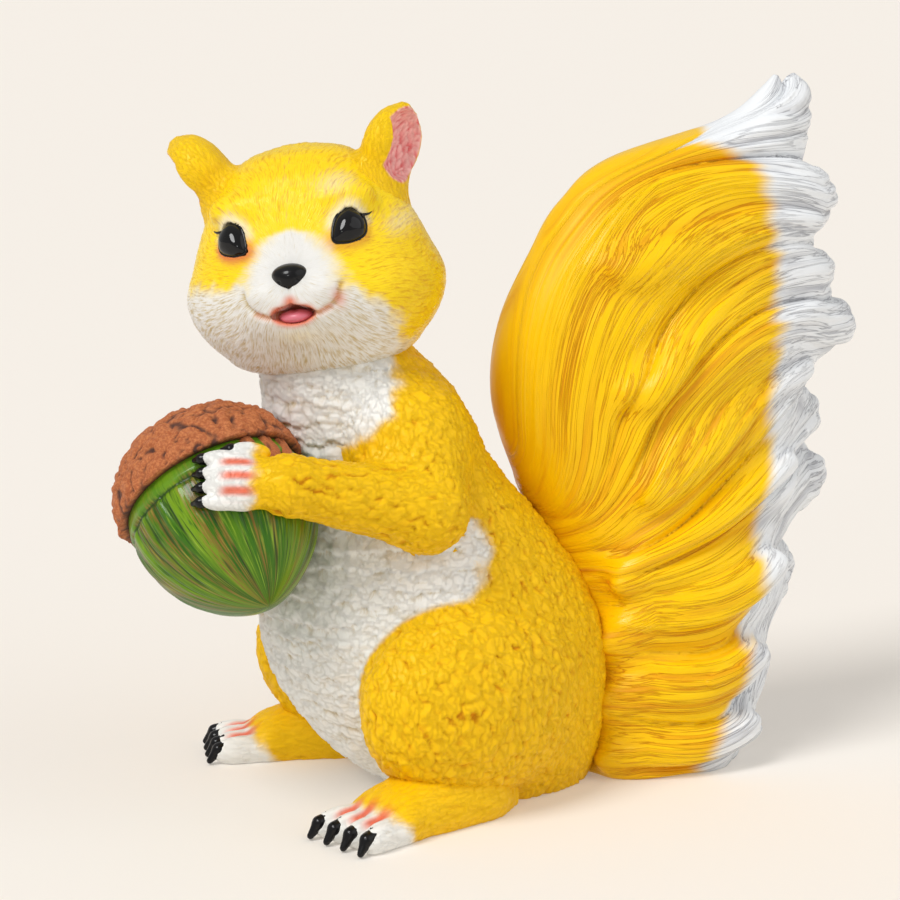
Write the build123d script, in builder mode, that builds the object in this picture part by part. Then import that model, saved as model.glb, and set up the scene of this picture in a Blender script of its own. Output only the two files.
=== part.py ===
"""Sitting squirrel garden figure: hollow castings with solid limbs, ears, eyes and claws bonded on.

Millimetres, Z up. The squirrel sits facing -Y, its left side is +X, and its head is turned to its left.
The origin is the middle of the base, on the floor.
"""
import os
from math import cos, pi, radians, sin, sqrt

from build123d import *

os.makedirs("parts", exist_ok=True)

# Casting thickness and fits
wall = 6.0  # hollow castings
floor_thickness = 9.0  # flange under the body
glue_gap = 0.3  # bond line between two castings
dowel_play = 0.15  # bore radius over dowel radius
oval_points = 10  # points on each oval section

# Torso, from the floor to the top of the neck
torso_height = 262.0
torso_lean = 95.0  # the neck stands this far forward of the base
belly_half_width = 83.0
belly_half_depth = 100.0
# share of height, of lean, of half width and of half depth at each level
torso_levels = (
    (0.00, 0.00, 0.72, 0.60),
    (0.085, 0.12, 0.87, 0.79),
    (0.21, 0.25, 0.98, 0.95),
    (0.36, 0.36, 1.00, 1.00),
    (0.57, 0.50, 0.86, 0.79),
    (0.71, 0.65, 0.76, 0.62),
    (0.90, 0.86, 0.62, 0.52),
    (1.00, 1.00, 0.42, 0.38),
)

# Haunches on either side of the belly
haunch_x = 62.0
haunch_y = -36.0
haunch_z = 66.0
haunch_half_width = 42.0
haunch_half_length = 76.0
haunch_half_height = 60.0
haunch_splay = 18.0  # degrees that the knees turn out

# Base plate let into the underside
base_opening_radius = 30.0
base_ledge = 8.0  # the plate overlaps the opening by this much
base_plate_thickness = 4.0
base_vent_radius = 5.0
base_vent_offset = 16.0

# Head, measured about its own middle
head_forward = 10.0  # ahead of the neck
head_lift = 40.0  # above the top of the neck
head_turn = 56.0  # degrees to its left
head_roll = 8.0  # degrees, left ear up
head_height = 127.0
head_below = 60.0  # from the middle down to the jaw
head_half_width = 72.0
head_half_depth = 62.0
# share of height, and of half width and half depth, from jaw to crown
head_levels = (
    (0.00, 0.26),
    (0.055, 0.60),
    (0.14, 0.79),
    (0.25, 0.94),
    (0.37, 1.00),
    (0.53, 0.91),
    (0.69, 0.79),
    (0.83, 0.65),
    (0.93, 0.47),
    (0.98, 0.28),
    (1.00, 0.10),
)
muzzle_forward = 44.0
muzzle_drop = 13.0
muzzle_half_width = 28.0
muzzle_half_depth = 25.0
muzzle_half_height = 20.0
pad_across = 13.5  # lip pads either side of the nose
pad_forward = 54.0
pad_drop = 10.0
pad_half_width = 15.5
pad_half_depth = 14.0
pad_half_height = 12.0

# Eyes, nose, mouth and tongue, aimed from the middle of the head
eye_across = 33.0
eye_ahead = 45.0
eye_up = 23.0
eye_radius = 13.0
eye_sink = 6.0  # middle of the ball under the skin
nose_up = 1.0
nose_half_width = 9.5
nose_half_height = 7.0
nose_half_depth = 8.0
nose_sink = 2.0
mouth_up = -15.0
mouth_half_width = 13.0
mouth_half_height = 7.0
mouth_depth = 7.0
tongue_top = 1.0  # tongue's upper face under the middle of the mouth

# Ears: cups that plug through the wall of the head
ear_across = 43.0
ear_back = 2.0
ear_up = 43.0
ear_root = 14.0  # length inside the head
ear_length = 39.0
ear_half_width = 21.0
ear_half_thickness = 13.0
ear_lean = 28.0  # degrees outward
ear_opening_turn = 68.0  # degrees from straight ahead, outward
ear_rim = 3.5
# share of length, of half width and of half thickness above the skin
ear_levels = (
    (0.00, 0.80, 0.95),
    (0.35, 1.00, 1.00),
    (0.65, 0.94, 0.90),
    (0.88, 0.66, 0.66),
    (1.00, 0.20, 0.25),
)

# Acorn held against the chest
acorn_height = 167.0
acorn_bearing = 12.0  # degrees to the left of straight ahead
nut_radius = 49.5
nut_crown = 46.0  # from the widest level up to the top of the nut
nut_tip = 62.0  # from the widest level down to the point
nut_fullness = 0.62  # exponent of the lower half's outline: smaller is fuller
nut_points = 6  # points on each half of the nut's outline
nut_flat = 2.0  # radius of the small flats at both ends
acorn_tilt = 44.0  # degrees from upright, cap to the right
acorn_pitch = 6.0  # degrees, cap forward
cap_radius = 53.5
cap_rim = 9.0  # rim above the widest level
cap_top = 59.0
cap_shoulder_width = 0.80  # share of the cap's radius at its shoulder
cap_shoulder_rise = 0.62  # share of the cap's height at its shoulder
husk_thickness = 3.5
husk_length = 32.0
husk_arc = 11.0  # degrees round the nut, each rib
husk_step = 15.0  # degrees from rib to rib
husk_bearing = -78.0  # degrees round the nut, from its back to the first rib
husk_count = 3

# Arms
shoulder_height = 212.0
shoulder_forward = 66.0
shoulder_sink = 16.0
shoulder_radius = 30.0
elbow_out = 28.0
elbow_back = -2.0
elbow_drop = 34.0
elbow_radius = 21.5
wrist_radius = 15.0
wrist_reach = 25.0  # behind the middle of the paw
arm_dowel_radius = 4.0
arm_dowel_length = 32.0

# Forepaws on the acorn: from its middle towards each palm, and along the fingers
left_palm = (0.866, -0.12, 0.485)
left_reach = (-0.42, -0.91, 0)
right_palm = (-0.60, 0.15, -0.78)
right_reach = (0.50, -0.75, -0.40)
paw_lift = 5.0  # middle of the palm over the nut
paw_half_length = 18.0
paw_half_width = 19.0
paw_half_thickness = 9.0
finger_count = 4
finger_pitch = 9.0
finger_half_length = 11.0
finger_half_width = 4.3
finger_turn = 11.0  # degrees round the nut, ahead of the palm
thumb_turn = -2.0  # degrees, the same way
thumb_place = 22.5  # above the middle of the palm
claw_lead = 9.0  # degrees ahead of the finger
claw_half_length = 6.5
claw_half_width = 2.8
paw_dowel_radius = 2.5
paw_dowel_length = 24.0

# Hind feet
foot_x = 62.0  # heel
foot_y = -18.0
foot_splay = 17.0  # degrees
foot_length = 103.0
foot_half_width = 24.0
foot_height = 36.0
foot_sole = 0.35  # share of the height that lies under the middle of each section
# share of length, of half width and of height, from heel to toes
foot_levels = (
    (0.00, 0.45, 0.50),
    (0.15, 0.85, 0.85),
    (0.45, 0.95, 1.00),
    (0.72, 0.92, 0.84),
    (0.92, 0.95, 0.58),
    (1.00, 0.70, 0.36),
)
toe_count = 4
toe_pitch = 11.5
toe_fan = 7.0  # degrees between toes
toe_half_length = 18.0
toe_half_width = 7.0
toe_half_height = 9.0
toe_sink = 2.0  # cut off flat under each toe
toe_claw_half_length = 8.0
toe_claw_half_width = 3.6
toe_claw_height = 7.0
foot_dowel_radius = 4.0
foot_dowel_length = 30.0
foot_dowel_start = 3.0  # above the floor
foot_dowel_y = -52.0

# Tail
tail_height = 400.0
tail_front = 6.0
tail_depth = 204.0
tail_half_width = 60.0
# share of height, of depth at the front edge and the back edge, and of half width
tail_levels = (
    (0.00, 0.20, 0.74, 0.97),
    (0.06, 0.18, 0.80, 1.04),
    (0.15, 0.19, 0.83, 1.03),
    (0.25, 0.19, 0.88, 1.00),
    (0.35, 0.14, 0.93, 0.95),
    (0.45, 0.06, 0.97, 0.88),
    (0.55, 0.00, 1.00, 0.83),
    (0.65, 0.02, 1.00, 0.77),
    (0.75, 0.115, 1.00, 0.68),
    (0.825, 0.21, 0.99, 0.58),
    (0.885, 0.37, 0.99, 0.46),
    (0.935, 0.72, 0.995, 0.30),
    (0.98, 0.85, 0.985, 0.17),
    (1.00, 0.89, 0.95, 0.07),
)
tail_cavity_top = 0.86  # share of the height that is hollow
lock_half_length = 46.0
lock_half_width = 18.0
lock_half_height = 22.0
lock_rise = 8.0  # degrees that the tips point up
# share of the tail's height, and reach past the back edge, of each curled lock
tail_locks = (
    (0.81, 17.0),
    (0.71, 15.0),
    (0.625, 33.0),
    (0.50, 9.0),
    (0.41, 24.0),
    (0.28, 13.0),
    (0.135, 14.0),
)
ridge_half_height = 16.0
ridge_half_thickness = 14.0
ridge_lift = 5.0  # over the side of the tail
# where each ridge of hair starts and ends on the side: share of height, share of depth
tail_ridges = (
    ((0.03, 0.26), (0.055, 0.66)),
    ((0.11, 0.26), (0.165, 0.66)),
    ((0.205, 0.27), (0.29, 0.72)),
    ((0.30, 0.31), (0.42, 0.80)),
    ((0.43, 0.41), (0.55, 0.88)),
    ((0.57, 0.36), (0.665, 0.90)),
    ((0.74, 0.34), (0.775, 0.90)),
)
tail_dowel_radius = 5.0
tail_dowel_length = 46.0
tail_dowel_low = 42.0
tail_dowel_high = 96.0


def oval(plane, half_width, half_depth):
    """Closed oval section on a plane."""
    angles = [2 * pi * step / oval_points for step in range(oval_points)]
    with BuildSketch(plane) as section:
        with BuildLine():
            Spline([(half_width * cos(a), half_depth * sin(a)) for a in angles], periodic=True)
        make_face()
    return section.sketch


def ellipsoid(plane, half_x, half_y, half_z):
    """Ellipsoid about the origin of a plane, along its axes."""
    with BuildPart(mode=Mode.PRIVATE) as form:
        Sphere(1)
        scale(by=(half_x, half_y, half_z))
    return plane.location * form.part


def skin_plane(form, start, direction):
    """Plane on the skin where a ray leaves a form; Z points out of it."""
    point, normal = form.shell().find_intersection_points(Axis(start, direction))[-1]
    return Plane(origin=point, z_dir=normal)


def torso_form(grow):
    """Torso and neck, offset by grow; a cavity starts above the floor flange."""
    sections = []
    for height, lean, width, depth in torso_levels:
        level = height * torso_height
        if height == 0:
            level = floor_thickness if grow < 0 else -grow
        if height == 1:
            level += grow
        plane = Plane((0, -lean * torso_lean, level))
        sections.append(oval(plane, width * belly_half_width + grow, depth * belly_half_depth + grow))
    with BuildPart(mode=Mode.PRIVATE) as form:
        loft(sections)
    return form.part


def haunch_form(side, grow):
    """Haunch on one side (1 left, -1 right), knee turned out."""
    turn = radians(side * haunch_splay)
    plane = Plane((side * haunch_x, haunch_y, haunch_z), x_dir=(cos(turn), sin(turn), 0))
    return ellipsoid(plane, haunch_half_width + grow, haunch_half_length + grow, haunch_half_height + grow)


def level_at(levels, share, column):
    """Value of one column of a level table at any share of the height."""
    for low, high in zip(levels, levels[1:]):
        if low[0] <= share <= high[0]:
            part_way = (share - low[0]) / (high[0] - low[0])
            return low[column] + part_way * (high[column] - low[column])


def tail_form(grow, top_share):
    """Body of the tail up to a share of its height, offset by grow."""
    shares = [row[0] for row in tail_levels if row[0] < top_share] + [top_share]
    sections = []
    for share in shares:
        front = tail_front + tail_depth * level_at(tail_levels, share, 1) - grow
        back = tail_front + tail_depth * level_at(tail_levels, share, 2) + grow
        half_width = tail_half_width * level_at(tail_levels, share, 3) + grow
        level = share * tail_height
        if share == 0:
            level -= grow
        sections.append(oval(Plane((0, (front + back) / 2, level)), half_width, (back - front) / 2))
    with BuildPart(mode=Mode.PRIVATE) as form:
        loft(sections)
    return form.part


# Frames of the head, the acorn and the paws
def tail_side(side, height_share, depth_share):
    """Point on one side of the tail at shares of its height and depth."""
    front = level_at(tail_levels, height_share, 1)
    back = level_at(tail_levels, height_share, 2)
    part_way = (2 * depth_share - front - back) / (back - front)
    half_width = tail_half_width * level_at(tail_levels, height_share, 3)
    across = side * half_width * sqrt(1 - part_way**2)
    return Vector(across, tail_front + tail_depth * depth_share, tail_height * height_share)


def ridge_form(side, start, end):
    """One ridge of hair on the side of the tail, from start to end."""
    along = tail_side(side, *end) - tail_side(side, *start)
    outward = Vector(side, 0, 0) - along * (side * along.X / along.length**2)
    outward = outward.normalized()
    middle = tail_side(side, (start[0] + end[0]) / 2, (start[1] + end[1]) / 2)
    plane = Plane(middle + outward * (ridge_lift - ridge_half_thickness), x_dir=along, z_dir=outward)
    return ellipsoid(plane, along.length / 2, ridge_half_height, ridge_half_thickness)


head_middle = Vector(0, -torso_lean - head_forward, torso_height + head_lift)
level_left = Vector(cos(radians(head_turn)), sin(radians(head_turn)), 0)
level_up = Vector(0, 0, 1)
head_left = level_left * cos(radians(head_roll)) + level_up * sin(radians(head_roll))
head_up = level_up * cos(radians(head_roll)) - level_left * sin(radians(head_roll))
head_frame = Plane(head_middle, x_dir=head_left, z_dir=head_up)


def head_direction(across, ahead, up):
    """Direction in the head's own frame: to its left, ahead and up."""
    return head_frame.from_local_coords(Vector(across, -ahead, up)) - head_middle


def skull_form(grow):
    """Head without its muzzle, offset by grow."""
    sections = []
    for share, width in head_levels:
        level = share * head_height - head_below
        if share == 0:
            level -= grow
        if share == 1:
            level += grow
        plane = head_frame.offset(level)
        sections.append(oval(plane, width * head_half_width + grow, width * head_half_depth + grow))
    with BuildPart(mode=Mode.PRIVATE) as form:
        loft(sections)
    return form.part


skull = skull_form(0)
muzzle_middle = head_middle + head_direction(0, muzzle_forward, -muzzle_drop)
muzzle_plane = Plane(muzzle_middle, x_dir=head_frame.x_dir, z_dir=head_frame.z_dir)
muzzle = ellipsoid(muzzle_plane, muzzle_half_width, muzzle_half_depth, muzzle_half_height)
with BuildPart() as face:
    add(skull)
    add(muzzle)


def face_plane(direction):
    """Plane on the face, X along the head's left, Z out of the skin."""
    skin = skin_plane(face.part, head_middle, direction)
    return Plane(skin.origin, x_dir=head_frame.x_dir, z_dir=skin.z_dir)


def ear_form(side, grow):
    """Ear from its root inside the head to its tip, offset by grow."""
    start = skin_plane(skull, head_middle, head_direction(side * ear_across, -ear_back, ear_up)).origin
    lean = radians(ear_lean)
    turn = radians(ear_opening_turn)
    upward = head_direction(side * sin(lean), 0, cos(lean))
    opening = head_direction(side * sin(turn), cos(turn), 0)
    base = Plane(start, x_dir=upward.cross(opening), z_dir=upward)
    root_width = ear_levels[0][1] * ear_half_width
    root_thickness = ear_levels[0][2] * ear_half_thickness
    sections = [oval(base.offset(-ear_root - grow), root_width + grow, root_thickness + grow)]
    for share, width, thickness in ear_levels:
        plane = base.offset(share * ear_length)
        sections.append(oval(plane, width * ear_half_width + grow, thickness * ear_half_thickness + grow))
    with BuildPart(mode=Mode.PRIVATE) as form:
        loft(sections)
    return form.part, base


torso = torso_form(0)
torso_seat = torso_form(glue_gap)

# Acorn: its nut touches the chest, and its axis points from the tip to the cap
bearing = radians(acorn_bearing)
chest_start = (0, -torso_lean * level_at(torso_levels, acorn_height / torso_height, 1), acorn_height)
chest = skin_plane(torso, chest_start, (sin(bearing), -cos(bearing), 0))
acorn_middle = chest.origin + chest.z_dir * (nut_radius + glue_gap)
tilt = radians(acorn_tilt)
pitch = radians(acorn_pitch)
acorn_up = Vector(-sin(tilt), -cos(tilt) * sin(pitch), cos(tilt) * cos(pitch))
acorn_back = acorn_up.cross(Vector(1, 0, 0)).normalized()
acorn_axis = Axis(acorn_middle, acorn_up)


def nut_radius_at(level):
    """Radius of the nut at a level above or below its widest ring."""
    if level >= 0:
        return nut_radius * sqrt(max(0, 1 - (level / nut_crown) ** 2))
    return nut_radius * max(0, 1 - (level / nut_tip) ** 2) ** nut_fullness


def meridian_plane(turn):
    """Plane through the acorn's axis: X away from the axis, Y towards the cap."""
    outward = acorn_back.rotate(Axis((0, 0, 0), acorn_up), turn)
    return Plane(acorn_middle, x_dir=outward, z_dir=outward.cross(acorn_up))


def nut_form(grow):
    """Nut turned about its axis, offset by grow."""
    lower = [-nut_tip * sin(pi / 2 * step / nut_points) for step in range(nut_points - 1, 0, -1)]
    upper = [nut_crown * sin(pi / 2 * step / nut_points) for step in range(nut_points)]
    bottom = (nut_flat, -nut_tip - grow)
    top = (nut_flat, nut_crown + grow)
    outline = [bottom]
    for level in lower + upper:
        part_way = level / (nut_crown if level > 0 else nut_tip)
        outline.append((nut_radius_at(level) + grow * sqrt(1 - part_way**2), level + grow * part_way))
    outline.append(top)
    with BuildPart(mode=Mode.PRIVATE) as form:
        with BuildSketch(meridian_plane(0)):
            with BuildLine():
                Spline(outline)
                Polyline(top, (0, top[1]), (0, bottom[1]), bottom)
            make_face()
        revolve(axis=acorn_axis)
    return form.part


def cap_form(grow):
    """Solid cup over the top of the nut, offset by grow."""
    top = (nut_flat, cap_top + grow)
    shoulder_level = cap_rim + cap_shoulder_rise * (cap_top - cap_rim)
    shoulder = (cap_shoulder_width * cap_radius + grow, shoulder_level + grow)
    rim = (cap_radius + grow, cap_rim - grow)
    with BuildPart(mode=Mode.PRIVATE) as form:
        with BuildSketch(meridian_plane(0)):
            with BuildLine():
                Spline(rim, shoulder, top, tangents=((0.1, 1), (-1, 0)))
                Polyline(top, (0, top[1]), (0, rim[1]), rim)
            make_face()
        revolve(axis=acorn_axis)
    return form.part


def husk_form(grow):
    """Raised ribs of husk down the nut from the rim of the cap, offset by grow."""
    top = cap_rim - glue_gap + grow
    levels = [top - (husk_length + 2 * grow) * step / nut_points for step in range(nut_points + 1)]
    outer = [(nut_radius_at(level) + husk_thickness + grow, level) for level in levels]
    inner_radius = nut_radius_at(levels[-1]) - wall / 2
    with BuildPart(mode=Mode.PRIVATE) as form:
        for rib in range(husk_count):
            turn = husk_bearing + rib * husk_step
            with BuildSketch(meridian_plane(turn)):
                with BuildLine():
                    Spline(outer)
                    Polyline(outer[-1], (inner_radius, levels[-1]), (inner_radius, top), outer[0])
                make_face()
            revolve(axis=acorn_axis, revolution_arc=husk_arc)
    return form.part


def paw_frame(outward, forward):
    """Plane on the nut under a paw: X along its fingers, Z away from the nut."""
    outward = Vector(outward).normalized()
    across = outward.cross(Vector(forward)).normalized()
    return Plane(acorn_middle + outward * (nut_radius + paw_lift), across.cross(outward), outward)


def round_nut(paw, turn, sideways):
    """Plane ahead of a paw, turned round the nut and moved sideways."""
    angle = radians(turn)
    outward = paw.z_dir * cos(angle) + paw.x_dir * sin(angle)
    forward = paw.x_dir * cos(angle) - paw.z_dir * sin(angle)
    middle = acorn_middle + paw.y_dir * sideways + outward * (nut_radius + paw_lift)
    return Plane(middle, forward, outward)


left_paw = paw_frame(left_palm, left_reach)
right_paw = paw_frame(right_palm, right_reach)
finger_places = [finger_pitch * (index - (finger_count - 1) / 2) for index in range(finger_count)]


def finger_spots(side):
    """Turn round the nut and sideways place of each finger and the thumb of one paw."""
    return [(finger_turn, place) for place in finger_places] + [(thumb_turn, -side * thumb_place)]


def fingers_form(side, paw, grow):
    """Fingers and thumb of one paw, wrapped round the nut, offset by grow."""
    with BuildPart(mode=Mode.PRIVATE) as form:
        for turn, place in finger_spots(side):
            plane = round_nut(paw, turn, place)
            half_width = finger_half_width + grow
            add(ellipsoid(plane, finger_half_length + grow, half_width, half_width))
    return form.part


def claws_form(side, paw):
    """Claws past the finger tips of one paw."""
    with BuildPart(mode=Mode.PRIVATE) as form:
        for turn, place in finger_spots(side):
            plane = round_nut(paw, turn + claw_lead, place)
            add(ellipsoid(plane, claw_half_length, claw_half_width, claw_half_width))
    return form.part


def limb(joints):
    """Round limb through (point, radius) joints."""
    with BuildPart(mode=Mode.PRIVATE) as form:
        for (start, start_radius), (end, end_radius) in zip(joints, joints[1:]):
            along = end - start
            with BuildSketch(Plane(start, z_dir=along)):
                Circle(start_radius)
            with BuildSketch(Plane(end, z_dir=along)):
                Circle(end_radius)
            loft()
        for point, radius in joints:
            with Locations(point):
                Sphere(radius)
    return form.part


def rod(plane, radius, length):
    """Round rod that starts on a plane and runs along its Z."""
    with BuildPart(mode=Mode.PRIVATE) as form:
        with BuildSketch(plane):
            Circle(radius)
        extrude(amount=length)
    return form.part


def shoulder_seat(side):
    """Plane on the torso at a shoulder; Z points out of the skin."""
    return skin_plane(torso, (0, -shoulder_forward, shoulder_height), (side, 0, 0))


def arm_form(side, paw):
    """Arm from shoulder to palm, with its fingers."""
    seat = shoulder_seat(side)
    shoulder = seat.origin - seat.z_dir * shoulder_sink
    elbow = shoulder + Vector(side * elbow_out, elbow_back, -elbow_drop)
    wrist = paw.origin - paw.x_dir * wrist_reach
    with BuildPart(mode=Mode.PRIVATE) as form:
        joints = [(shoulder, shoulder_radius), (elbow, elbow_radius), (wrist, wrist_radius)]
        add(limb(joints + [(paw.origin, paw_half_thickness)]))
        add(ellipsoid(paw, paw_half_length, paw_half_width, paw_half_thickness))
        add(fingers_form(side, paw, 0))
    return form.part


def arm_dowel(side, radius):
    """Rod from inside the torso through its wall into an arm, ending a wall under its skin."""
    seat = shoulder_seat(side)
    bite = shoulder_radius - shoulder_sink - wall
    return rod(seat.offset(bite - arm_dowel_length), radius, arm_dowel_length)


def paw_dowel(paw, radius):
    """Short rod from a palm through the wall of the nut."""
    return rod(paw.offset(-paw_dowel_length), radius, paw_dowel_length)


def foot_plane(side):
    """Upright plane across the heel: X across the foot, Y up, Z towards the toes."""
    splay = radians(foot_splay)
    along = Vector(side * sin(splay), -cos(splay), 0)
    return Plane((side * foot_x, foot_y, 0), x_dir=Vector(0, 0, 1).cross(along), z_dir=along)


def toe_planes(side):
    """Plane at the middle of each toe: X along it, Z up."""
    heel = foot_plane(side)
    planes = []
    for index in range(toe_count):
        step = index - (toe_count - 1) / 2
        turn = radians(step * toe_fan)
        along = heel.z_dir * cos(turn) + heel.x_dir * sin(turn)
        middle = heel.origin + heel.z_dir * foot_length + heel.x_dir * (step * toe_pitch)
        rise = Vector(0, 0, toe_half_height - toe_sink)
        planes.append(Plane(middle + rise, x_dir=along, z_dir=(0, 0, 1)))
    return planes


def toes_form(side, grow):
    """Toes of one foot, offset by grow."""
    with BuildPart(mode=Mode.PRIVATE) as form:
        for plane in toe_planes(side):
            add(ellipsoid(plane, toe_half_length + grow, toe_half_width + grow, toe_half_height + grow))
    return form.part


def foot_form(side):
    """Foot from heel to toes, before it is cut flat."""
    heel = foot_plane(side)
    sections = []
    for share, width, height in foot_levels:
        middle = heel.origin + heel.z_dir * (share * foot_length)
        rise = Vector(0, 0, height * foot_height * foot_sole)
        plane = Plane(middle + rise, x_dir=heel.x_dir, z_dir=heel.z_dir)
        sections.append(oval(plane, width * foot_half_width, height * foot_height * (1 - foot_sole)))
    with BuildPart(mode=Mode.PRIVATE) as form:
        loft(sections)
        add(toes_form(side, 0))
    return form.part


def toe_claws_form(side):
    """Claws at the tips of one foot's toes."""
    with BuildPart(mode=Mode.PRIVATE) as form:
        for toe in toe_planes(side):
            tip = toe.origin + toe.x_dir * toe_half_length
            plane = Plane((tip.X, tip.Y, toe_claw_height), x_dir=toe.x_dir, z_dir=(0, 0, 1))
            add(ellipsoid(plane, toe_claw_half_length, toe_claw_half_width, toe_claw_half_width))
    return form.part


def foot_dowel(side, radius):
    """Upright rod from a foot into the haunch over it."""
    place = Plane((side * foot_x, foot_dowel_y, foot_dowel_start))
    return rod(place, radius, foot_dowel_length)


def tail_dowel(level, radius):
    """Rod through the torso's back wall and the tail's front wall."""
    back = skin_plane(torso, (0, -torso_lean * level / torso_height, level), (0, 1, 0))
    place = Plane(back.origin, z_dir=(0, 1, 0)).offset(-tail_dowel_length / 2)
    return rod(place, radius, tail_dowel_length)


sides = {"left": 1, "right": -1}
paws = {"left": left_paw, "right": right_paw}
tail_dowel_levels = (tail_dowel_low, tail_dowel_high)

# Body: torso and haunches in one hollow casting, with a flange underneath
with BuildPart() as body_shell:
    add(torso)
    for side in sides.values():
        add(haunch_form(side, 0))
    add(torso_form(-wall), mode=Mode.SUBTRACT)
    for side in sides.values():
        add(haunch_form(side, -wall), mode=Mode.SUBTRACT)
        add(arm_dowel(side, arm_dowel_radius + dowel_play), mode=Mode.SUBTRACT)
        add(foot_dowel(side, foot_dowel_radius + dowel_play), mode=Mode.SUBTRACT)
    for level in tail_dowel_levels:
        add(tail_dowel(level, tail_dowel_radius + dowel_play), mode=Mode.SUBTRACT)
    with BuildSketch(Plane.XY):
        Circle(base_opening_radius)
    extrude(amount=floor_thickness, mode=Mode.SUBTRACT)
    with BuildSketch(Plane.XY):
        Circle(base_opening_radius + base_ledge)
    extrude(amount=base_plate_thickness + glue_gap, mode=Mode.SUBTRACT)
body_shell.part.label = "body_shell"
export_step(body_shell.part, "parts/body_shell.step")

# Base plate: disc bonded into the rebate, flush with the underside, with a vent
with BuildPart() as base_plate:
    with BuildSketch(Plane.XY):
        Circle(base_opening_radius + base_ledge - glue_gap)
        with Locations((0, base_vent_offset)):
            Circle(base_vent_radius, mode=Mode.SUBTRACT)
    extrude(amount=base_plate_thickness)
base_plate.part.label = "base_plate"
export_step(base_plate.part, "parts/base_plate.step")

# Face fittings, each aimed from the middle of the head
eye_planes = {
    name: face_plane(head_direction(side * eye_across, eye_ahead, eye_up)).offset(-eye_sink)
    for name, side in sides.items()
}
nose_plane = face_plane(head_direction(0, eye_ahead, nose_up)).offset(-nose_sink)
mouth_plane = face_plane(head_direction(0, eye_ahead, mouth_up))


def nose_form(grow):
    """Nose, offset by grow."""
    return ellipsoid(nose_plane, nose_half_width + grow, nose_half_height + grow, nose_half_depth + grow)


def mouth_form(grow):
    """Recess of the mouth, offset by grow."""
    return ellipsoid(mouth_plane, mouth_half_width + grow, mouth_half_height + grow, mouth_depth + grow)


# Head: hollow casting set over the neck, with sockets for eyes, nose, ears and tongue
with BuildPart() as head_shell:
    add(face.part)
    for side in sides.values():
        pad_middle = head_middle + head_direction(side * pad_across, pad_forward, -pad_drop)
        pad_plane = Plane(pad_middle, x_dir=head_frame.x_dir, z_dir=head_frame.z_dir)
        add(ellipsoid(pad_plane, pad_half_width, pad_half_depth, pad_half_height))
    add(skull_form(-wall), mode=Mode.SUBTRACT)
    add(torso_seat, mode=Mode.SUBTRACT)
    add(nose_form(glue_gap), mode=Mode.SUBTRACT)
    add(mouth_form(0), mode=Mode.SUBTRACT)
    for name, side in sides.items():
        eye = eye_radius + glue_gap
        add(ellipsoid(eye_planes[name], eye, eye, eye), mode=Mode.SUBTRACT)
        add(ear_form(side, glue_gap)[0], mode=Mode.SUBTRACT)
head_shell.part.label = "head_shell"
export_step(head_shell.part, "parts/head_shell.step")

# Eyes: balls set in the sockets from inside
for name in sides:
    with BuildPart() as eye:
        add(ellipsoid(eye_planes[name], eye_radius, eye_radius, eye_radius))
    eye.part.label = f"{name}_eye"
    export_step(eye.part, f"parts/{name}_eye.step")

with BuildPart() as nose:
    add(nose_form(0))
nose.part.label = "nose"
export_step(nose.part, "parts/nose.step")

# Tongue: fills the lower part of the mouth
with BuildPart() as tongue:
    add(mouth_form(-glue_gap))
    lower_lip = Plane(mouth_plane.origin, x_dir=mouth_plane.x_dir, z_dir=mouth_plane.y_dir)
    split(bisect_by=lower_lip.offset(-tongue_top), keep=Keep.BOTTOM)
tongue.part.label = "tongue"
export_step(tongue.part, "parts/tongue.step")

# Ears: cups whose roots plug through the head
for name, side in sides.items():
    ear_body, ear_base = ear_form(side, 0)
    cup = ear_base.offset(ear_length / 2)
    cup_middle = cup.origin + cup.y_dir * ear_half_thickness
    with BuildPart() as ear:
        add(ear_body)
        add(
            ellipsoid(
                Plane(cup_middle, x_dir=cup.x_dir, z_dir=cup.z_dir),
                ear_half_width - ear_rim,
                2 * ear_half_thickness - ear_rim - ear_rim,
                ear_length / 2 - ear_rim,
            ),
            mode=Mode.SUBTRACT,
        )
    ear.part.label = f"{name}_ear"
    export_step(ear.part, f"parts/{name}_ear.step")

# Acorn: hollow nut, cup over it and ribs of husk down its side
nut_seat = nut_form(glue_gap)
with BuildPart() as acorn_nut:
    add(nut_form(0))
    add(nut_form(-wall), mode=Mode.SUBTRACT)
    for paw in paws.values():
        add(paw_dowel(paw, paw_dowel_radius + dowel_play), mode=Mode.SUBTRACT)
acorn_nut.part.label = "acorn_nut"
export_step(acorn_nut.part, "parts/acorn_nut.step")

with BuildPart() as acorn_cap:
    add(cap_form(0))
    add(nut_seat, mode=Mode.SUBTRACT)
    add(torso_seat, mode=Mode.SUBTRACT)
acorn_cap.part.label = "acorn_cap"
export_step(acorn_cap.part, "parts/acorn_cap.step")

with BuildPart() as acorn_husk:
    add(husk_form(0))
    add(nut_seat, mode=Mode.SUBTRACT)
    add(torso_seat, mode=Mode.SUBTRACT)
acorn_husk.part.label = "acorn_husk"
export_step(acorn_husk.part, "parts/acorn_husk.step")

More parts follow.
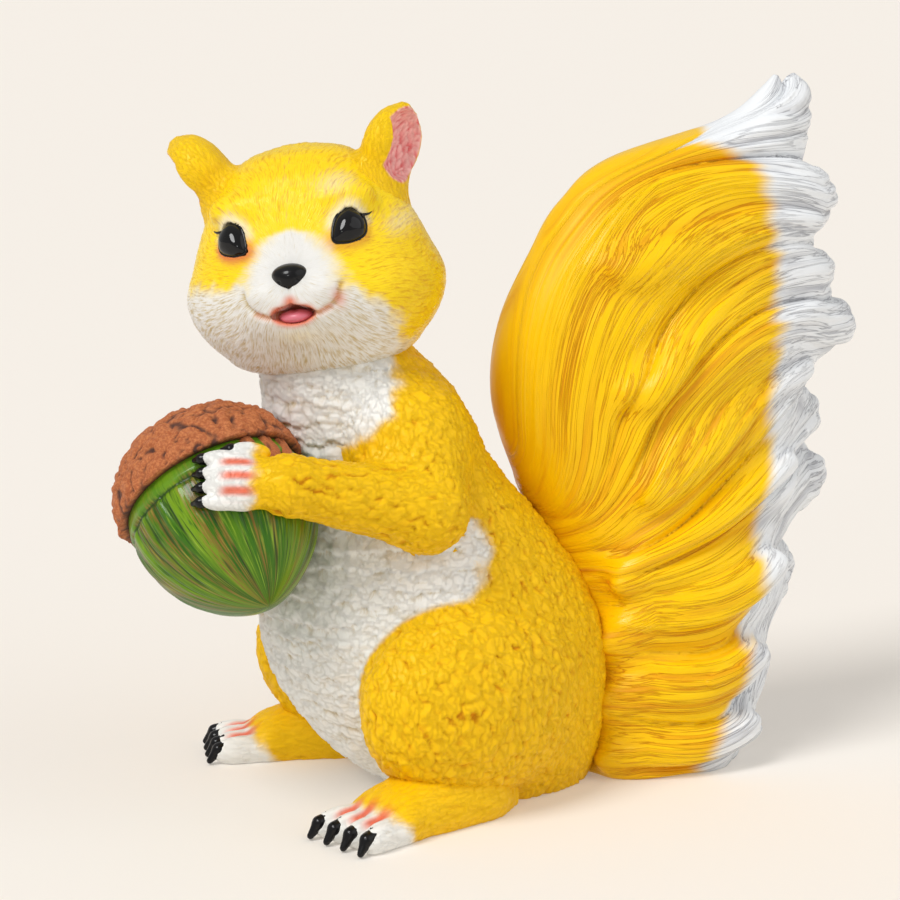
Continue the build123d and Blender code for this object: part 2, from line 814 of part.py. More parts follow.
# Arms: solid castings seated on the torso and round the acorn
for name, side in sides.items():
    paw = paws[name]
    with BuildPart() as arm:
        add(arm_form(side, paw))
        add(torso_seat, mode=Mode.SUBTRACT)
        add(nut_seat, mode=Mode.SUBTRACT)
        add(cap_form(glue_gap), mode=Mode.SUBTRACT)
        add(husk_form(glue_gap), mode=Mode.SUBTRACT)
        add(arm_dowel(side, arm_dowel_radius + dowel_play), mode=Mode.SUBTRACT)
        add(paw_dowel(paw, paw_dowel_radius + dowel_play), mode=Mode.SUBTRACT)
    arm.part.label = f"{name}_arm"
    export_step(arm.part, f"parts/{name}_arm.step")

    with BuildPart() as paw_claws:
        add(claws_form(side, paw))
        add(fingers_form(side, paw, glue_gap), mode=Mode.SUBTRACT)
        add(nut_seat, mode=Mode.SUBTRACT)
        add(cap_form(glue_gap), mode=Mode.SUBTRACT)
    paw_claws.part.label = f"{name}_paw_claws"
    export_step(paw_claws.part, f"parts/{name}_paw_claws.step")

# Feet: solid castings under the haunches, flat on the floor
for name, side in sides.items():
    with BuildPart() as foot:
        add(foot_form(side))
        split(bisect_by=Plane.XY, keep=Keep.TOP)
        add(torso_seat, mode=Mode.SUBTRACT)
        add(haunch_form(side, glue_gap), mode=Mode.SUBTRACT)
        add(foot_dowel(side, foot_dowel_radius + dowel_play), mode=Mode.SUBTRACT)
    foot.part.label = f"{name}_foot"
    export_step(foot.part, f"parts/{name}_foot.step")

    with BuildPart() as foot_claws:
        add(toe_claws_form(side))
        add(toes_form(side, glue_gap), mode=Mode.SUBTRACT)
    foot_claws.part.label = f"{name}_foot_claws"
    export_step(foot_claws.part, f"parts/{name}_foot_claws.step")

# Tail: hollow casting with curled locks down its back edge, seated on the torso's back
with BuildPart() as tail_cavity:
    add(tail_form(-wall, tail_cavity_top))
    add(torso_form(wall + glue_gap), mode=Mode.SUBTRACT)
    for side in sides.values():
        add(haunch_form(side, wall + glue_gap), mode=Mode.SUBTRACT)

with BuildPart() as tail_shell:
    add(tail_form(0, 1))
    for share, reach in tail_locks:
        edge = tail_front + tail_depth * level_at(tail_levels, share, 2)
        middle = (0, edge + reach - lock_half_length, share * tail_height)
        rise = radians(lock_rise)
        plane = Plane(middle, x_dir=(1, 0, 0), z_dir=(0, -sin(rise), cos(rise)))
        add(ellipsoid(plane, lock_half_width, lock_half_length, lock_half_height))
    for side in sides.values():
        for start, end in tail_ridges:
            add(ridge_form(side, start, end))
    add(torso_seat, mode=Mode.SUBTRACT)
    for side in sides.values():
        add(haunch_form(side, glue_gap), mode=Mode.SUBTRACT)
    add(tail_cavity.part, mode=Mode.SUBTRACT)
    for level in tail_dowel_levels:
        add(tail_dowel(level, tail_dowel_radius + dowel_play), mode=Mode.SUBTRACT)
tail_shell.part.label = "tail_shell"
export_step(tail_shell.part, "parts/tail_shell.step")

# Steel dowels across the bonded joints
with BuildPart() as tail_dowels:
    for level in tail_dowel_levels:
        add(tail_dowel(level, tail_dowel_radius))
tail_dowels.part.label = "tail_dowels"
export_step(tail_dowels.part, "parts/tail_dowels.step")

with BuildPart() as arm_dowels:
    for side in sides.values():
        add(arm_dowel(side, arm_dowel_radius))
arm_dowels.part.label = "arm_dowels"
export_step(arm_dowels.part, "parts/arm_dowels.step")

with BuildPart() as foot_dowels:
    for side in sides.values():
        add(foot_dowel(side, foot_dowel_radius))
foot_dowels.part.label = "foot_dowels"
export_step(foot_dowels.part, "parts/foot_dowels.step")

with BuildPart() as paw_dowels:
    for paw in paws.values():
        add(paw_dowel(paw, paw_dowel_radius))
paw_dowels.part.label = "paw_dowels"
export_step(paw_dowels.part, "parts/paw_dowels.step")
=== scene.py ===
import math

import bpy
import numpy as np
import openvdb
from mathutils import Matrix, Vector, kdtree, noise


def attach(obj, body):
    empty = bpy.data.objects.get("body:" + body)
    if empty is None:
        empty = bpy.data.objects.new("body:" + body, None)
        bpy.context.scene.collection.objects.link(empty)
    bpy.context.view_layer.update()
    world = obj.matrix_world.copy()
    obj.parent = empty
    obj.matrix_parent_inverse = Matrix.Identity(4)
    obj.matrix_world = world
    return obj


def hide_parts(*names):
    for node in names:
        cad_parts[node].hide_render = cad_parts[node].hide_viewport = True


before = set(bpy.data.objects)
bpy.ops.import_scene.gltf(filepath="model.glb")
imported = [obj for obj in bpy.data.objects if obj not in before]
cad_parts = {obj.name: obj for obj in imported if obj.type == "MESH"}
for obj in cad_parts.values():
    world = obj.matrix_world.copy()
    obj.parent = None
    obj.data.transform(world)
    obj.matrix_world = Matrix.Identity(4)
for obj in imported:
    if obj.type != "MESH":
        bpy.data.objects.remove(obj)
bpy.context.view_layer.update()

# Camera: a long lens a little above the figure's chest, ahead and to its left.
# The picture is square, and the lens is given as pixels of its 900 pixel frame.
picture_width = 900
focal_pixels = 2900
camera_turn = math.radians(65)
camera_rise = math.radians(10.5)
camera_distance = 1.65
looked_at = Vector((0, -0.022, 0.192))
towards_camera = Vector((
    math.sin(camera_turn) * math.cos(camera_rise),
    -math.cos(camera_turn) * math.cos(camera_rise),
    math.sin(camera_rise),
))
camera_data = bpy.data.cameras.new("camera")
camera_data.sensor_width = 36
camera_data.lens = camera_data.sensor_width * focal_pixels / picture_width
camera = bpy.data.objects.new("camera", camera_data)
camera.location = looked_at + towards_camera * camera_distance
camera.rotation_euler = towards_camera.to_track_quat("Z", "Y").to_euler()
bpy.context.collection.objects.link(camera)
bpy.context.scene.camera = camera
bpy.context.scene.view_settings.view_transform = "Standard"


# Floor and light: a cream sheet that runs out of sight, so no edge shows behind the figure.
# It is lit from below a little, and two broad soft lights and the pale room do the rest.
def tint(red, green, blue):
    """Linear colour of a paint chip given as 0 to 255 values."""
    shares = [value / 255 for value in (red, green, blue)]
    return [s / 12.92 if s <= 0.04045 else ((s + 0.055) / 1.055) ** 2.4 for s in shares] + [1]


cream = tint(246, 240, 232)
floor_glow = 0.2
floor_reach = 40.0
bpy.ops.mesh.primitive_plane_add(size=2 * floor_reach)
floor = bpy.context.object
floor.name = "floor"
floor_paper = bpy.data.materials.new("floor_paper")
floor_paper.use_nodes = True
paper_tree = floor_paper.node_tree
paper = paper_tree.nodes["Principled BSDF"]
paper.inputs["Base Color"].default_value = [(1 - floor_glow) * share for share in cream[:3]] + [1]
paper.inputs["Emission Color"].default_value = cream
paper.inputs["Emission Strength"].default_value = floor_glow
paper.inputs["Roughness"].default_value = 0.9
paper.inputs["Specular IOR Level"].default_value = 0.0
paper_grain = paper_tree.nodes.new("ShaderNodeTexNoise")
paper_grain.inputs["Scale"].default_value = 900
paper_bump = paper_tree.nodes.new("ShaderNodeBump")
paper_bump.inputs["Strength"].default_value = 0.02
paper_tree.links.new(paper_grain.outputs["Fac"], paper_bump.inputs["Height"])
paper_tree.links.new(paper_bump.outputs["Normal"], paper.inputs["Normal"])
floor.data.materials.append(floor_paper)

sky = bpy.data.worlds.new("sky")
sky.use_nodes = True
sky.node_tree.nodes["Background"].inputs["Color"].default_value = (1, 0.985, 0.965, 1)
sky.node_tree.nodes["Background"].inputs["Strength"].default_value = 0.48
bpy.context.scene.world = sky


def soft_light(name, bearing, power, breadth):
    """Far soft light that shines from a bearing at the figure, as broad as an angle in degrees."""
    lamp = bpy.data.lights.new(name, "SUN")
    lamp.energy = power
    lamp.angle = math.radians(breadth)
    light = bpy.data.objects.new(name, lamp)
    light.rotation_euler = Vector(bearing).to_track_quat("Z", "Y").to_euler()
    bpy.context.collection.objects.link(light)


soft_light("key_light", (0.35, -0.8, 1.0), 1.8, 24)
soft_light("fill_light", (0.9, 0.75, 0.7), 0.55, 60)
catch_lamp = bpy.data.lights.new("catch_light", "AREA")
catch_lamp.size = 0.11
catch_lamp.energy = 1.6
catch_light = bpy.data.objects.new("catch_light", catch_lamp)
catch_light.location = (1.15, -1.1, 0.95)
catch_light.rotation_euler = (catch_light.location - looked_at).to_track_quat("Z", "Y").to_euler()
bpy.context.collection.objects.link(catch_light)


# Body: one hollow resin casting of the torso, neck and both haunches. Its master was
# tooled into short tufts, and the cast is sprayed yellow and airbrushed white in front.
torso_height = 262
torso_lean = 95
belly_half_width = 83
belly_half_depth = 100
# height, lean, width and depth, as shares of the sizes above
torso_levels = np.array((
    (0, 0, 0.72, 0.60),
    (0.085, 0.12, 0.87, 0.79),
    (0.21, 0.25, 0.98, 0.95),
    (0.36, 0.36, 1, 1),
    (0.57, 0.50, 0.86, 0.79),
    (0.71, 0.65, 0.76, 0.62),
    (0.90, 0.86, 0.62, 0.52),
    (1, 1, 0.42, 0.38),
))
haunch_middle = (62, -36, 66)
haunch_halves = (42, 76, 60)
haunch_splay = math.radians(18)
body_step = 1.35
up = np.array((0.0, 0.0, 1.0))
sides = {"left": 1, "right": -1}


def unit(vectors):
    """Vectors scaled to length one."""
    vectors = np.asarray(vectors, dtype=float)
    return vectors / np.maximum(np.linalg.norm(vectors, axis=-1, keepdims=True), 1e-9)


def lattice(low, high, step):
    """Coordinates, in mm, of a box of points that a form is cast in."""
    axes = [np.arange(a, b + step, step) for a, b in zip(low, high)]
    return np.meshgrid(*axes, indexing="ij", sparse=True)


def smooth_column(levels, column, share):
    """One column of a level table at any share, on a smooth curve through its rows."""
    heights = levels[:, 0]
    values = levels[:, column]
    slopes = np.gradient(values, heights)
    share = np.clip(share, heights[0], heights[-1])
    row = np.clip(np.searchsorted(heights, share, side="right") - 1, 0, len(heights) - 2)
    span = heights[row + 1] - heights[row]
    t = (share - heights[row]) / span
    start = values[row] * (1 + 2 * t) * (1 - t) ** 2 + slopes[row] * span * t * (1 - t) ** 2
    end = values[row + 1] * t * t * (3 - 2 * t) + slopes[row + 1] * span * t * t * (t - 1)
    return start + end


def egg(space, middle, axes, halves):
    """Distance from an ellipsoid's skin, negative inside, for its three axes and half sizes."""
    offset = [space[i] - middle[i] for i in range(3)]
    near = 0
    far = 0
    for axis, half in zip(axes, halves):
        along = sum(offset[i] * axis[i] for i in range(3)) / half
        near = near + along * along
        far = far + (along / half) ** 2
    reach = np.sqrt(near)
    return reach * (reach - 1) / np.sqrt(np.maximum(far, 1e-12))


def melt(first, second, width):
    """Two forms joined with a soft fillet of a given width."""
    share = np.clip(0.5 + 0.5 * (second - first) / width, 0, 1)
    return second + (first - second) * share - width * share * (1 - share)


def cut(first, second, width):
    """A form with another one taken out of it, with a softened edge."""
    return -melt(-first, second, width)


def torso_middle(level):
    """Where the middle of the torso lies along Y at a level."""
    return -torso_lean * smooth_column(torso_levels, 1, level / torso_height)


def torso_field(space):
    """Distance from the torso and neck."""
    x, y, z = space
    share = z / torso_height
    half_width = belly_half_width * smooth_column(torso_levels, 2, share)
    half_depth = belly_half_depth * smooth_column(torso_levels, 3, share)
    ring = np.sqrt((x / half_width) ** 2 + ((y - torso_middle(z)) / half_depth) ** 2)
    wall = (ring - 1) * np.minimum(half_width, half_depth) * 0.9
    return np.maximum(wall, z - torso_height)


def haunch_field(space, side):
    """Distance from one haunch, its knee turned out."""
    turn = side * haunch_splay
    across = (math.cos(turn), math.sin(turn), 0)
    along = (-math.sin(turn), math.cos(turn), 0)
    middle = (side * haunch_middle[0], haunch_middle[1], haunch_middle[2])
    return egg(space, middle, (across, along, up), haunch_halves)


def body_field(space):
    """Distance from the whole body casting, flat on the floor."""
    form = torso_field(space)
    for side in sides.values():
        form = melt(form, haunch_field(space, side), 7)
    return np.maximum(form, -space[2])


def facing(points, quads):
    """Normals of a mesh at its points."""
    corner = points[quads]
    face = np.cross(corner[:, 2] - corner[:, 0], corner[:, 3] - corner[:, 1])
    total = np.zeros_like(points)
    for index in range(4):
        np.add.at(total, quads[:, index], face)
    return unit(total)


def faced_out(points, quads):
    """Quads of a closed mesh, wound so that they face out."""
    corner = points[quads]
    inside_out = np.einsum("ij,ij->", np.cross(corner[:, 0], corner[:, 1]), corner[:, 2]) < 0
    return quads[:, ::-1] if inside_out else quads


def skin(form, low, high, step):
    """Points in mm, quads and normals of the skin of a form that fills a box."""
    space = lattice(low, high, step)
    field = np.ascontiguousarray(form(space), dtype=np.float32)
    grid = openvdb.FloatGrid()
    grid.copyFromArray(field)
    points, quads = grid.convertToQuads(0.0)
    points = points.astype(float) * step + np.array(low, dtype=float)
    quads = quads.astype(int)
    quads = faced_out(points, quads)
    return points, quads, facing(points, quads)


def cloud(points, size):
    """Smooth lumps from -1 to 1, of a given size in mm."""
    return np.array([noise.noise(point) for point in points / size])


def combed(direction, normals):
    """Directions laid flat on the skin."""
    direction = direction - normals * (direction * normals).sum(1, keepdims=True)
    return unit(direction)


def tufted(points, normals, flow, spacing, length, width, seed):
    """Overlapping tufts along a flow: their relief from 0 to 1, and where each point lies in one."""
    draw = np.random.default_rng(seed)
    order = draw.permutation(len(points))
    cells = np.floor(points[order] / spacing + draw.random(3)).astype(np.int64)
    roots = order[np.unique(cells, axis=0, return_index=True)[1]]
    tree = kdtree.KDTree(len(roots))
    for number, root in enumerate(roots):
        tree.insert(points[root], number)
    tree.balance()
    near = np.array([[hit[1] for hit in tree.find_n(point, 9)] for point in points])
    swing = draw.normal(0, 0.22, len(roots))[:, None]
    side = np.cross(normals[roots], flow[roots])
    heading = flow[roots] * np.cos(swing) + side * np.sin(swing)
    side = side * np.cos(swing) - flow[roots] * np.sin(swing)
    size = draw.uniform(0.75, 1.3, len(roots))
    offset = points[:, None] - points[roots][near]
    along = (offset * heading[near]).sum(2)
    across = (offset * side[near]).sum(2)
    run = along / (length * size[near]) + 0.5
    half = width * size[near] * np.clip(1.15 - 0.75 * run ** 2, 0.2, 1)
    dome = np.sqrt(np.clip(1 - (across / half) ** 2, 0, 1))
    rise = np.clip(run, 0, 1) ** 0.8 * np.clip((1 - run) / 0.16, 0, 1)
    relief = dome * rise * (0.7 + 0.3 * size[near])
    best = relief.argmax(1)
    rows = np.arange(len(points))
    number = near[rows, best]
    strand = np.stack((across[rows, best] + number * 3.7, along[rows, best], number * 0.61), axis=1)
    return relief[rows, best], strand


def warped(points, size, reach):
    """Points shifted to and fro by smooth lumps, which makes a pattern on them ragged."""
    starts = ((0, 0, 0), (31, 17, 5), (-11, 43, 23))
    return points + reach * np.stack([cloud(points + start, size) for start in starts], axis=1)


def knotted(points, size, octaves):
    """Rounded knots of a given size with sharp creases between them, from 0 to 1."""
    total = np.zeros(len(points))
    share = 1.0
    for octave in range(octaves):
        total += share * np.clip(2.6 * np.abs(cloud(points + 13.7 * octave, size / 2 ** octave)), 0, 1)
        share *= 0.5
    return total / (2 - 2 * share)


def stepped(value, start, end):
    """0 before start, 1 after end, smooth between."""
    share = np.clip((value - start) / (end - start), 0, 1)
    return share * share * (3 - 2 * share)


def cast(name, points, quads, marks, paint):
    """Object made from points in mm, with its paint marks and material."""
    mesh = bpy.data.meshes.new(name)
    mesh.from_pydata((points / 1000).tolist(), [], faced_out(points, quads).tolist())
    mesh.polygons.foreach_set("use_smooth", [True] * len(mesh.polygons))
    for mark, values in marks.items():
        values = np.asarray(values, dtype=np.float32)
        kind = "FLOAT_VECTOR" if values.ndim == 2 else "FLOAT"
        layer = mesh.attributes.new(mark, kind, "POINT")
        layer.data.foreach_set("vector" if values.ndim == 2 else "value", values.ravel())
    mesh.materials.append(paint)
    mesh.update()
    piece = bpy.data.objects.new(name, mesh)
    bpy.context.collection.objects.link(piece)
    return piece


def marked(tree, mark, output="Fac"):
    """Output of a paint mark of the mesh."""
    node = tree.nodes.new("ShaderNodeAttribute")
    node.attribute_name = mark
    return node.outputs[output]


def grain(tree, scale, detail, vector=None):
    """Output of a fine grain from 0 to 1."""
    node = tree.nodes.new("ShaderNodeTexNoise")
    node.inputs["Scale"].default_value = scale
    node.inputs["Detail"].default_value = detail
    if vector is not None:
        tree.links.new(vector, node.inputs["Vector"])
    return node.outputs["Fac"]


def spread(tree, value, low, high):
    """A value stretched from low..high to 0..1."""
    node = tree.nodes.new("ShaderNodeMapRange")
    node.interpolation_type = "SMOOTHSTEP"
    node.inputs["From Min"].default_value = low
    node.inputs["From Max"].default_value = high
    tree.links.new(value, node.inputs["Value"])
    return node.outputs["Result"]


def reckon(tree, kind, first, second):
    """Sum, product and the like of two values, of which the second may be a number."""
    node = tree.nodes.new("ShaderNodeMath")
    node.operation = kind
    tree.links.new(first, node.inputs[0])
    if isinstance(second, (int, float)):
        node.inputs[1].default_value = second
    else:
        tree.links.new(second, node.inputs[1])
    return node.outputs[0]


def sprayed(tree, mask, under, over):
    """Colour of one paint sprayed over another where the mask is 1."""
    node = tree.nodes.new("ShaderNodeMix")
    node.data_type = "RGBA"
    tree.links.new(mask, node.inputs["Factor"])
    colours = [socket for socket in node.inputs if socket.type == "RGBA"]
    for socket, colour in zip(colours, (under, over)):
        if isinstance(colour, list):
            socket.default_value = colour
        else:
            tree.links.new(colour, socket)
    return [socket for socket in node.outputs if socket.type == "RGBA"][0]


yellow = tint(250, 202, 6)
deep_yellow = tint(216, 140, 4)
white = tint(240, 240, 236)
cool_white = tint(238, 241, 244)
sand = tint(196, 176, 128)
orange_red = tint(232, 92, 44)


def fur_paint(name, coat, crease_shade, snow, snow_shade, blush, strand_scale, strand_depth, line_share):
    """Satin spray paint over tooled fur: coat and snow, each darkened with painted shade in its creases, and a blush.
    """
    material = bpy.data.materials.new(name)
    material.use_nodes = True
    tree = material.node_tree
    shader = tree.nodes["Principled BSDF"]
    shader.inputs["Specular IOR Level"].default_value = 0.2
    strand = tree.nodes.new("ShaderNodeMapping")
    strand.vector_type = "POINT"
    strand.inputs["Scale"].default_value = (strand_scale, strand_scale * 0.12, 1)
    tree.links.new(marked(tree, "strand", "Vector"), strand.inputs["Vector"])
    hair = grain(tree, 1, 3, strand.outputs["Vector"])
    close_hair = grain(tree, 0.3, 3, strand.outputs["Vector"])
    hair = sprayed(tree, marked(tree, "gather"), hair, close_hair)
    fine_hair = grain(tree, 3.2, 3, strand.outputs["Vector"])
    hair = sprayed(tree, marked(tree, "sparse"), hair, fine_hair)
    mottle = grain(tree, 60, 3)
    off_middle = reckon(tree, "ABSOLUTE", reckon(tree, "SUBTRACT", hair, 0.5), 0)
    score = reckon(tree, "MULTIPLY", spread(tree, off_middle, 0.03, 0), marked(tree, "scored"))
    lines = reckon(tree, "ADD", reckon(tree, "MULTIPLY", hair, line_share), score)
    # painted shade: the crease mark and the hair lines turn the coat and the snow towards their shade colours
    low = spread(tree, reckon(tree, "ADD", marked(tree, "crease_shade"), lines), 0.6, 1.2)
    coat_colour = sprayed(tree, low, coat, crease_shade)
    coat_colour = sprayed(tree, reckon(tree, "MULTIPLY", marked(tree, "deep"), mottle), coat_colour, crease_shade)
    snow_colour = sprayed(tree, low, snow, snow_shade)
    ragged = reckon(tree, "ADD", marked(tree, "white"), reckon(tree, "MULTIPLY", hair, 0.6))
    colour = sprayed(tree, spread(tree, ragged, 0.35, 1.25), coat_colour, snow_colour)
    colour = sprayed(tree, marked(tree, "blush"), colour, blush)
    tree.links.new(colour, shader.inputs["Base Color"])
    rough = spread(tree, reckon(tree, "ADD", hair, marked(tree, "crease_shade")), -0.6, 2.2)
    tree.links.new(rough, shader.inputs["Roughness"])
    bump = tree.nodes.new("ShaderNodeBump")
    bump.inputs["Strength"].default_value = 0.7
    bump.inputs["Distance"].default_value = strand_depth / 1000
    tree.links.new(reckon(tree, "SUBTRACT", hair, score), bump.inputs["Height"])
    tree.links.new(bump.outputs["Normal"], shader.inputs["Normal"])
    return material


# how far round the sides, in degrees, the white bib reaches at each height
bib_heights = (0, 60, 120, 150, 165, 185, 200, 215, 240, 262)
bib_reach = (40, 62, 84, 104, 104, 66, 50, 62, 98, 118)
ledge_pitch = 10


def bib_share(points):
    """How white the bib leaves points near the torso, from 0 to 1."""
    front_angle = np.degrees(np.arctan2(points[:, 0], -(points[:, 1] - torso_middle(points[:, 2]))))
    edge = np.interp(points[:, 2], bib_heights, bib_reach) + 8 * cloud(points, 24) + 5 * cloud(points, 9)
    return stepped(edge - np.abs(front_angle), -8, 8)


points, quads, normals = skin(body_field, (-112, -152, -3), (112, 92, 266), body_step)
haunch = np.minimum(haunch_field(points.T, 1), haunch_field(points.T, -1)) - torso_field(points.T)
on_haunch = stepped(-haunch, -4, 3)
bib = bib_share(points) * (1 - on_haunch)
comb_back = combed(np.array((0, 0.55, -1.0)) + 0.0 * points, normals)
comb_bib = combed(np.array((0, -0.15, -1.0)) + 0.0 * points, normals)
loose = warped(points, 6, 3.0)
curls, curl_strand = tufted(loose, normals, comb_back, 4.4, 11, 2.7, 11)
shags, shag_strand = tufted(loose, normals, comb_bib, 5.5, 7.5, 8, 12)
knots = knotted(loose * (0.8, 0.8, 1.25), 7, 3)
on_bib = bib > 0.5
row = (points[:, 2] + 5 * cloud(points, 16) + 2 * cloud(points, 5)) / ledge_pitch
ledge = (1 - row % 1.0) * (0.8 + 0.6 * cloud(points, 20))
relief = np.where(on_bib, 1.5 * shags + 1.7 * ledge + 0.4 * knots, 2.3 * curls + 0.8 * knots)
relief = relief + 0.8 * cloud(points, 18) + 0.9 * cloud(points, 6)
strand = np.where(on_bib[:, None], shag_strand, curl_strand)
# painted shade: the crease mark is darkest at the foot of each tuft and under the lip of each ledge of the bib
crease_shade = 1.05 - np.where(on_bib, 0.6 * shags + 0.4 * ledge + 0.25 * knots, 0.9 * curls + 0.35 * knots)
points = points + normals * (relief - 1.9)[:, None]
points[:, 2] = np.maximum(points[:, 2], 0)
body_paint = fur_paint("body_paint", yellow, deep_yellow, white, sand, orange_red, 1.3, 0.5, 0.5)
marks = {"white": bib, "crease_shade": crease_shade, "strand": strand, "blush": 0 * bib, "deep": 0.3 + 0 * bib}
body = cast("body", points, quads, marks, body_paint)
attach(body, "root")
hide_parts("body_shell")


# Tail: a tall hollow casting that stands behind the body on two rods. Its face is tooled
# into long locks that fan out from the rump and end in curled tips, which are sprayed white.
tail_height = 400
tail_front = 6
tail_depth = 204
tail_half_width = 60
# height, front edge, back edge and width, as shares of the sizes above
tail_levels = np.array((
    (0, 0.20, 0.74, 0.97),
    (0.06, 0.18, 0.80, 1.04),
    (0.15, 0.19, 0.83, 1.03),
    (0.25, 0.19, 0.88, 1),
    (0.35, 0.14, 0.93, 0.95),
    (0.45, 0.06, 0.97, 0.88),
    (0.55, 0, 1, 0.83),
    (0.65, 0.02, 1, 0.77),
    (0.75, 0.115, 1, 0.68),
    (0.825, 0.21, 0.99, 0.58),
    (0.885, 0.37, 0.99, 0.46),
    (0.935, 0.72, 0.995, 0.30),
    (0.98, 0.85, 0.985, 0.17),
    (1, 0.89, 0.95, 0.07),
))
# height of each curled tip, and how far it stands past the back edge
tail_tips = ((324, 17), (284, 15), (250, 33), (200, 9), (164, 24), (112, 13), (54, 14))
tip_halves = (52, 31, 24)
# heights of the notches between the locks at the back edge
lock_bounds = np.array((-20, 34, 80, 134, 182, 217, 270, 300, 350, 420))
# how the strands run, in degrees up from level, at the front edge, midway and at the back edge
strand_heights = (0, 30, 65, 107, 140, 165, 200, 250, 285, 325, 350, 375, 400)
strand_front = (-10, -20, -15, -5, 30, 80, 103, 84, 66, 50, 25, 20, 60)
strand_midway = (-2, -2, 2, 8, 22, 38, 54, 50, 40, 20, 3, 5, 70)
strand_back = (30, 50, 58, 58, 45, 20, 25, -20, -8, -22, -20, 20, 85)
# ridges of hair on each side: start and end, as shares of height and depth
tail_ridges = (
    ((0.03, 0.26), (0.055, 0.66)),
    ((0.11, 0.26), (0.165, 0.66)),
    ((0.205, 0.27), (0.29, 0.72)),
    ((0.30, 0.31), (0.42, 0.80)),
    ((0.43, 0.41), (0.55, 0.88)),
    ((0.57, 0.36), (0.665, 0.90)),
    ((0.74, 0.34), (0.775, 0.90)),
)
ridge_half_height = 16
ridge_half_thickness = 14
ridge_lift = 5
tail_step = 1.4


def tail_edges(z):
    """Front and back edge of the tail at a height."""
    share = z / tail_height
    front = tail_front + tail_depth * smooth_column(tail_levels, 1, share)
    back = tail_front + tail_depth * smooth_column(tail_levels, 2, share)
    return front, back


def tail_side(height_share, depth_share):
    """Point on the left side of the tail at shares of its height and depth."""
    front = smooth_column(tail_levels, 1, height_share)
    back = smooth_column(tail_levels, 2, height_share)
    part_way = (2 * depth_share - front - back) / (back - front)
    half_width = tail_half_width * smooth_column(tail_levels, 3, height_share)
    across = half_width * math.sqrt(1 - part_way ** 2)
    return np.array((across, tail_front + tail_depth * depth_share, tail_height * height_share))


def tail_field(space):
    """Distance from the tail with its curled tips and ridges."""
    x, y, z = space
    front, back = tail_edges(z)
    half_width = tail_half_width * smooth_column(tail_levels, 3, z / tail_height)
    half_depth = (back - front) / 2
    ring = np.sqrt((x / half_width) ** 2 + ((y - (front + back) / 2) / half_depth) ** 2)
    form = (ring - 1) * np.minimum(half_width, half_depth) * 0.85
    form = np.maximum(form, z - tail_height)
    for height, reach in tail_tips:
        rise = math.radians(np.interp(height, strand_heights, strand_back) * 0.5)
        along = (0, math.cos(rise), math.sin(rise))
        over = (0, -math.sin(rise), math.cos(rise))
        end = tail_edges(np.array(float(height)))[1] + reach
        middle = (0, end - tip_halves[0] * along[1], height - tip_halves[0] * along[2])
        form = melt(form, egg(space, middle, (along, (1, 0, 0), over), tip_halves), 12)
    for start, end in tail_ridges:
        first = tail_side(*start)
        last = tail_side(*end)
        length = np.linalg.norm(last - first)
        along = unit(last - first)
        outward = unit(np.array((1, 0, 0)) - along * along[0])
        middle = tail_side((start[0] + end[0]) / 2, (start[1] + end[1]) / 2)
        middle = middle + outward * (ridge_lift - ridge_half_thickness)
        halves = (length * 0.62, ridge_half_height, ridge_half_thickness)
        mirrored = (np.abs(x), y, z)
        form = melt(form, egg(mirrored, middle, (along, np.cross(outward, along), outward), halves), 14)
    return np.maximum(form, -z)


def strand_turn(y, z):
    """Direction of the strands at a place on the tail's side, and its share of the way back."""
    front, back = tail_edges(z)
    share = (y - front) / np.maximum(back - front, 1)
    start = np.interp(z, strand_heights, strand_front)
    middle = np.interp(z, strand_heights, strand_midway)
    end = np.interp(z, strand_heights, strand_back)
    early = np.clip(share / 0.45, 0, 1)
    late = np.clip((share - 0.45) / 0.55, 0, 1)
    turn = np.where(share < 0.45, start + (middle - start) * early, middle + (end - middle) * late)
    return np.radians(turn), share


def strand_end(y, z):
    """Height at which a strand leaves the back edge, and the length left to there."""
    left = np.zeros_like(y)
    stride = 4.0
    turn, share = strand_turn(y, z)
    for _ in range(110):
        next_y = y + stride * np.cos(turn)
        next_z = z + stride * np.sin(turn)
        turn, next_share = strand_turn(next_y, next_z)
        part = np.clip((1 - share) / np.maximum(next_share - share, 1e-6), 0, 1)
        y = y + part * (next_y - y)
        z = z + part * (next_z - z)
        left = left + part * stride
        share = np.where(part < 1, 1, next_share)
    return z, left


points, quads, normals = skin(tail_field, (-68, -2, -3), (68, 254, 406), tail_step)
x, y, z = points.T
ends, left = strand_end(y, z)
gather = np.hypot(strand_end(y + 2, z)[0] - ends, strand_end(y, z + 2)[0] - ends) / 2
gather = np.clip(gather, 0.25, 8)
turn, share = strand_turn(y, z)
lock = np.clip(np.searchsorted(lock_bounds, ends) - 1, 0, len(lock_bounds) - 2)
part_way = (ends - lock_bounds[lock]) / (lock_bounds[lock + 1] - lock_bounds[lock])
lock_crown = np.sqrt(np.clip(1 - (2 * part_way - 1) ** 2, 0, 1))
grooves = np.zeros_like(x)
for octave in range(6):
    wave = 72 / 2 ** octave
    seen = wave / gather
    fine = stepped(seen, 5, 8) * (1 - stepped(seen, 18, 34))
    places = np.stack((ends / wave, x / 40 + 0.004 * left, octave * 9.1 + 0 * x), axis=1)
    locks = np.clip(2.6 * np.abs(cloud(places, 1)), 0, 1) - 0.55
    grooves += fine * np.clip(seen * 0.17, 0, 2.2) * locks
fan = stepped(share, 0.05, 0.45)
relief = 9.0 * (lock_crown - 0.78) * fan + grooves * (0.5 + 0.5 * fan)
points = points + normals * relief[:, None]
points[:, 2] = np.maximum(points[:, 2], 0)
white_heights = (0, 60, 130, 200, 250, 300, 340, 372, 400)
white_reach = (64, 72, 72, 58, 44, 42, 50, 72, 100)
ragged = 7 * cloud(np.stack((ends / 7, x / 12, 0 * x), axis=1), 1)
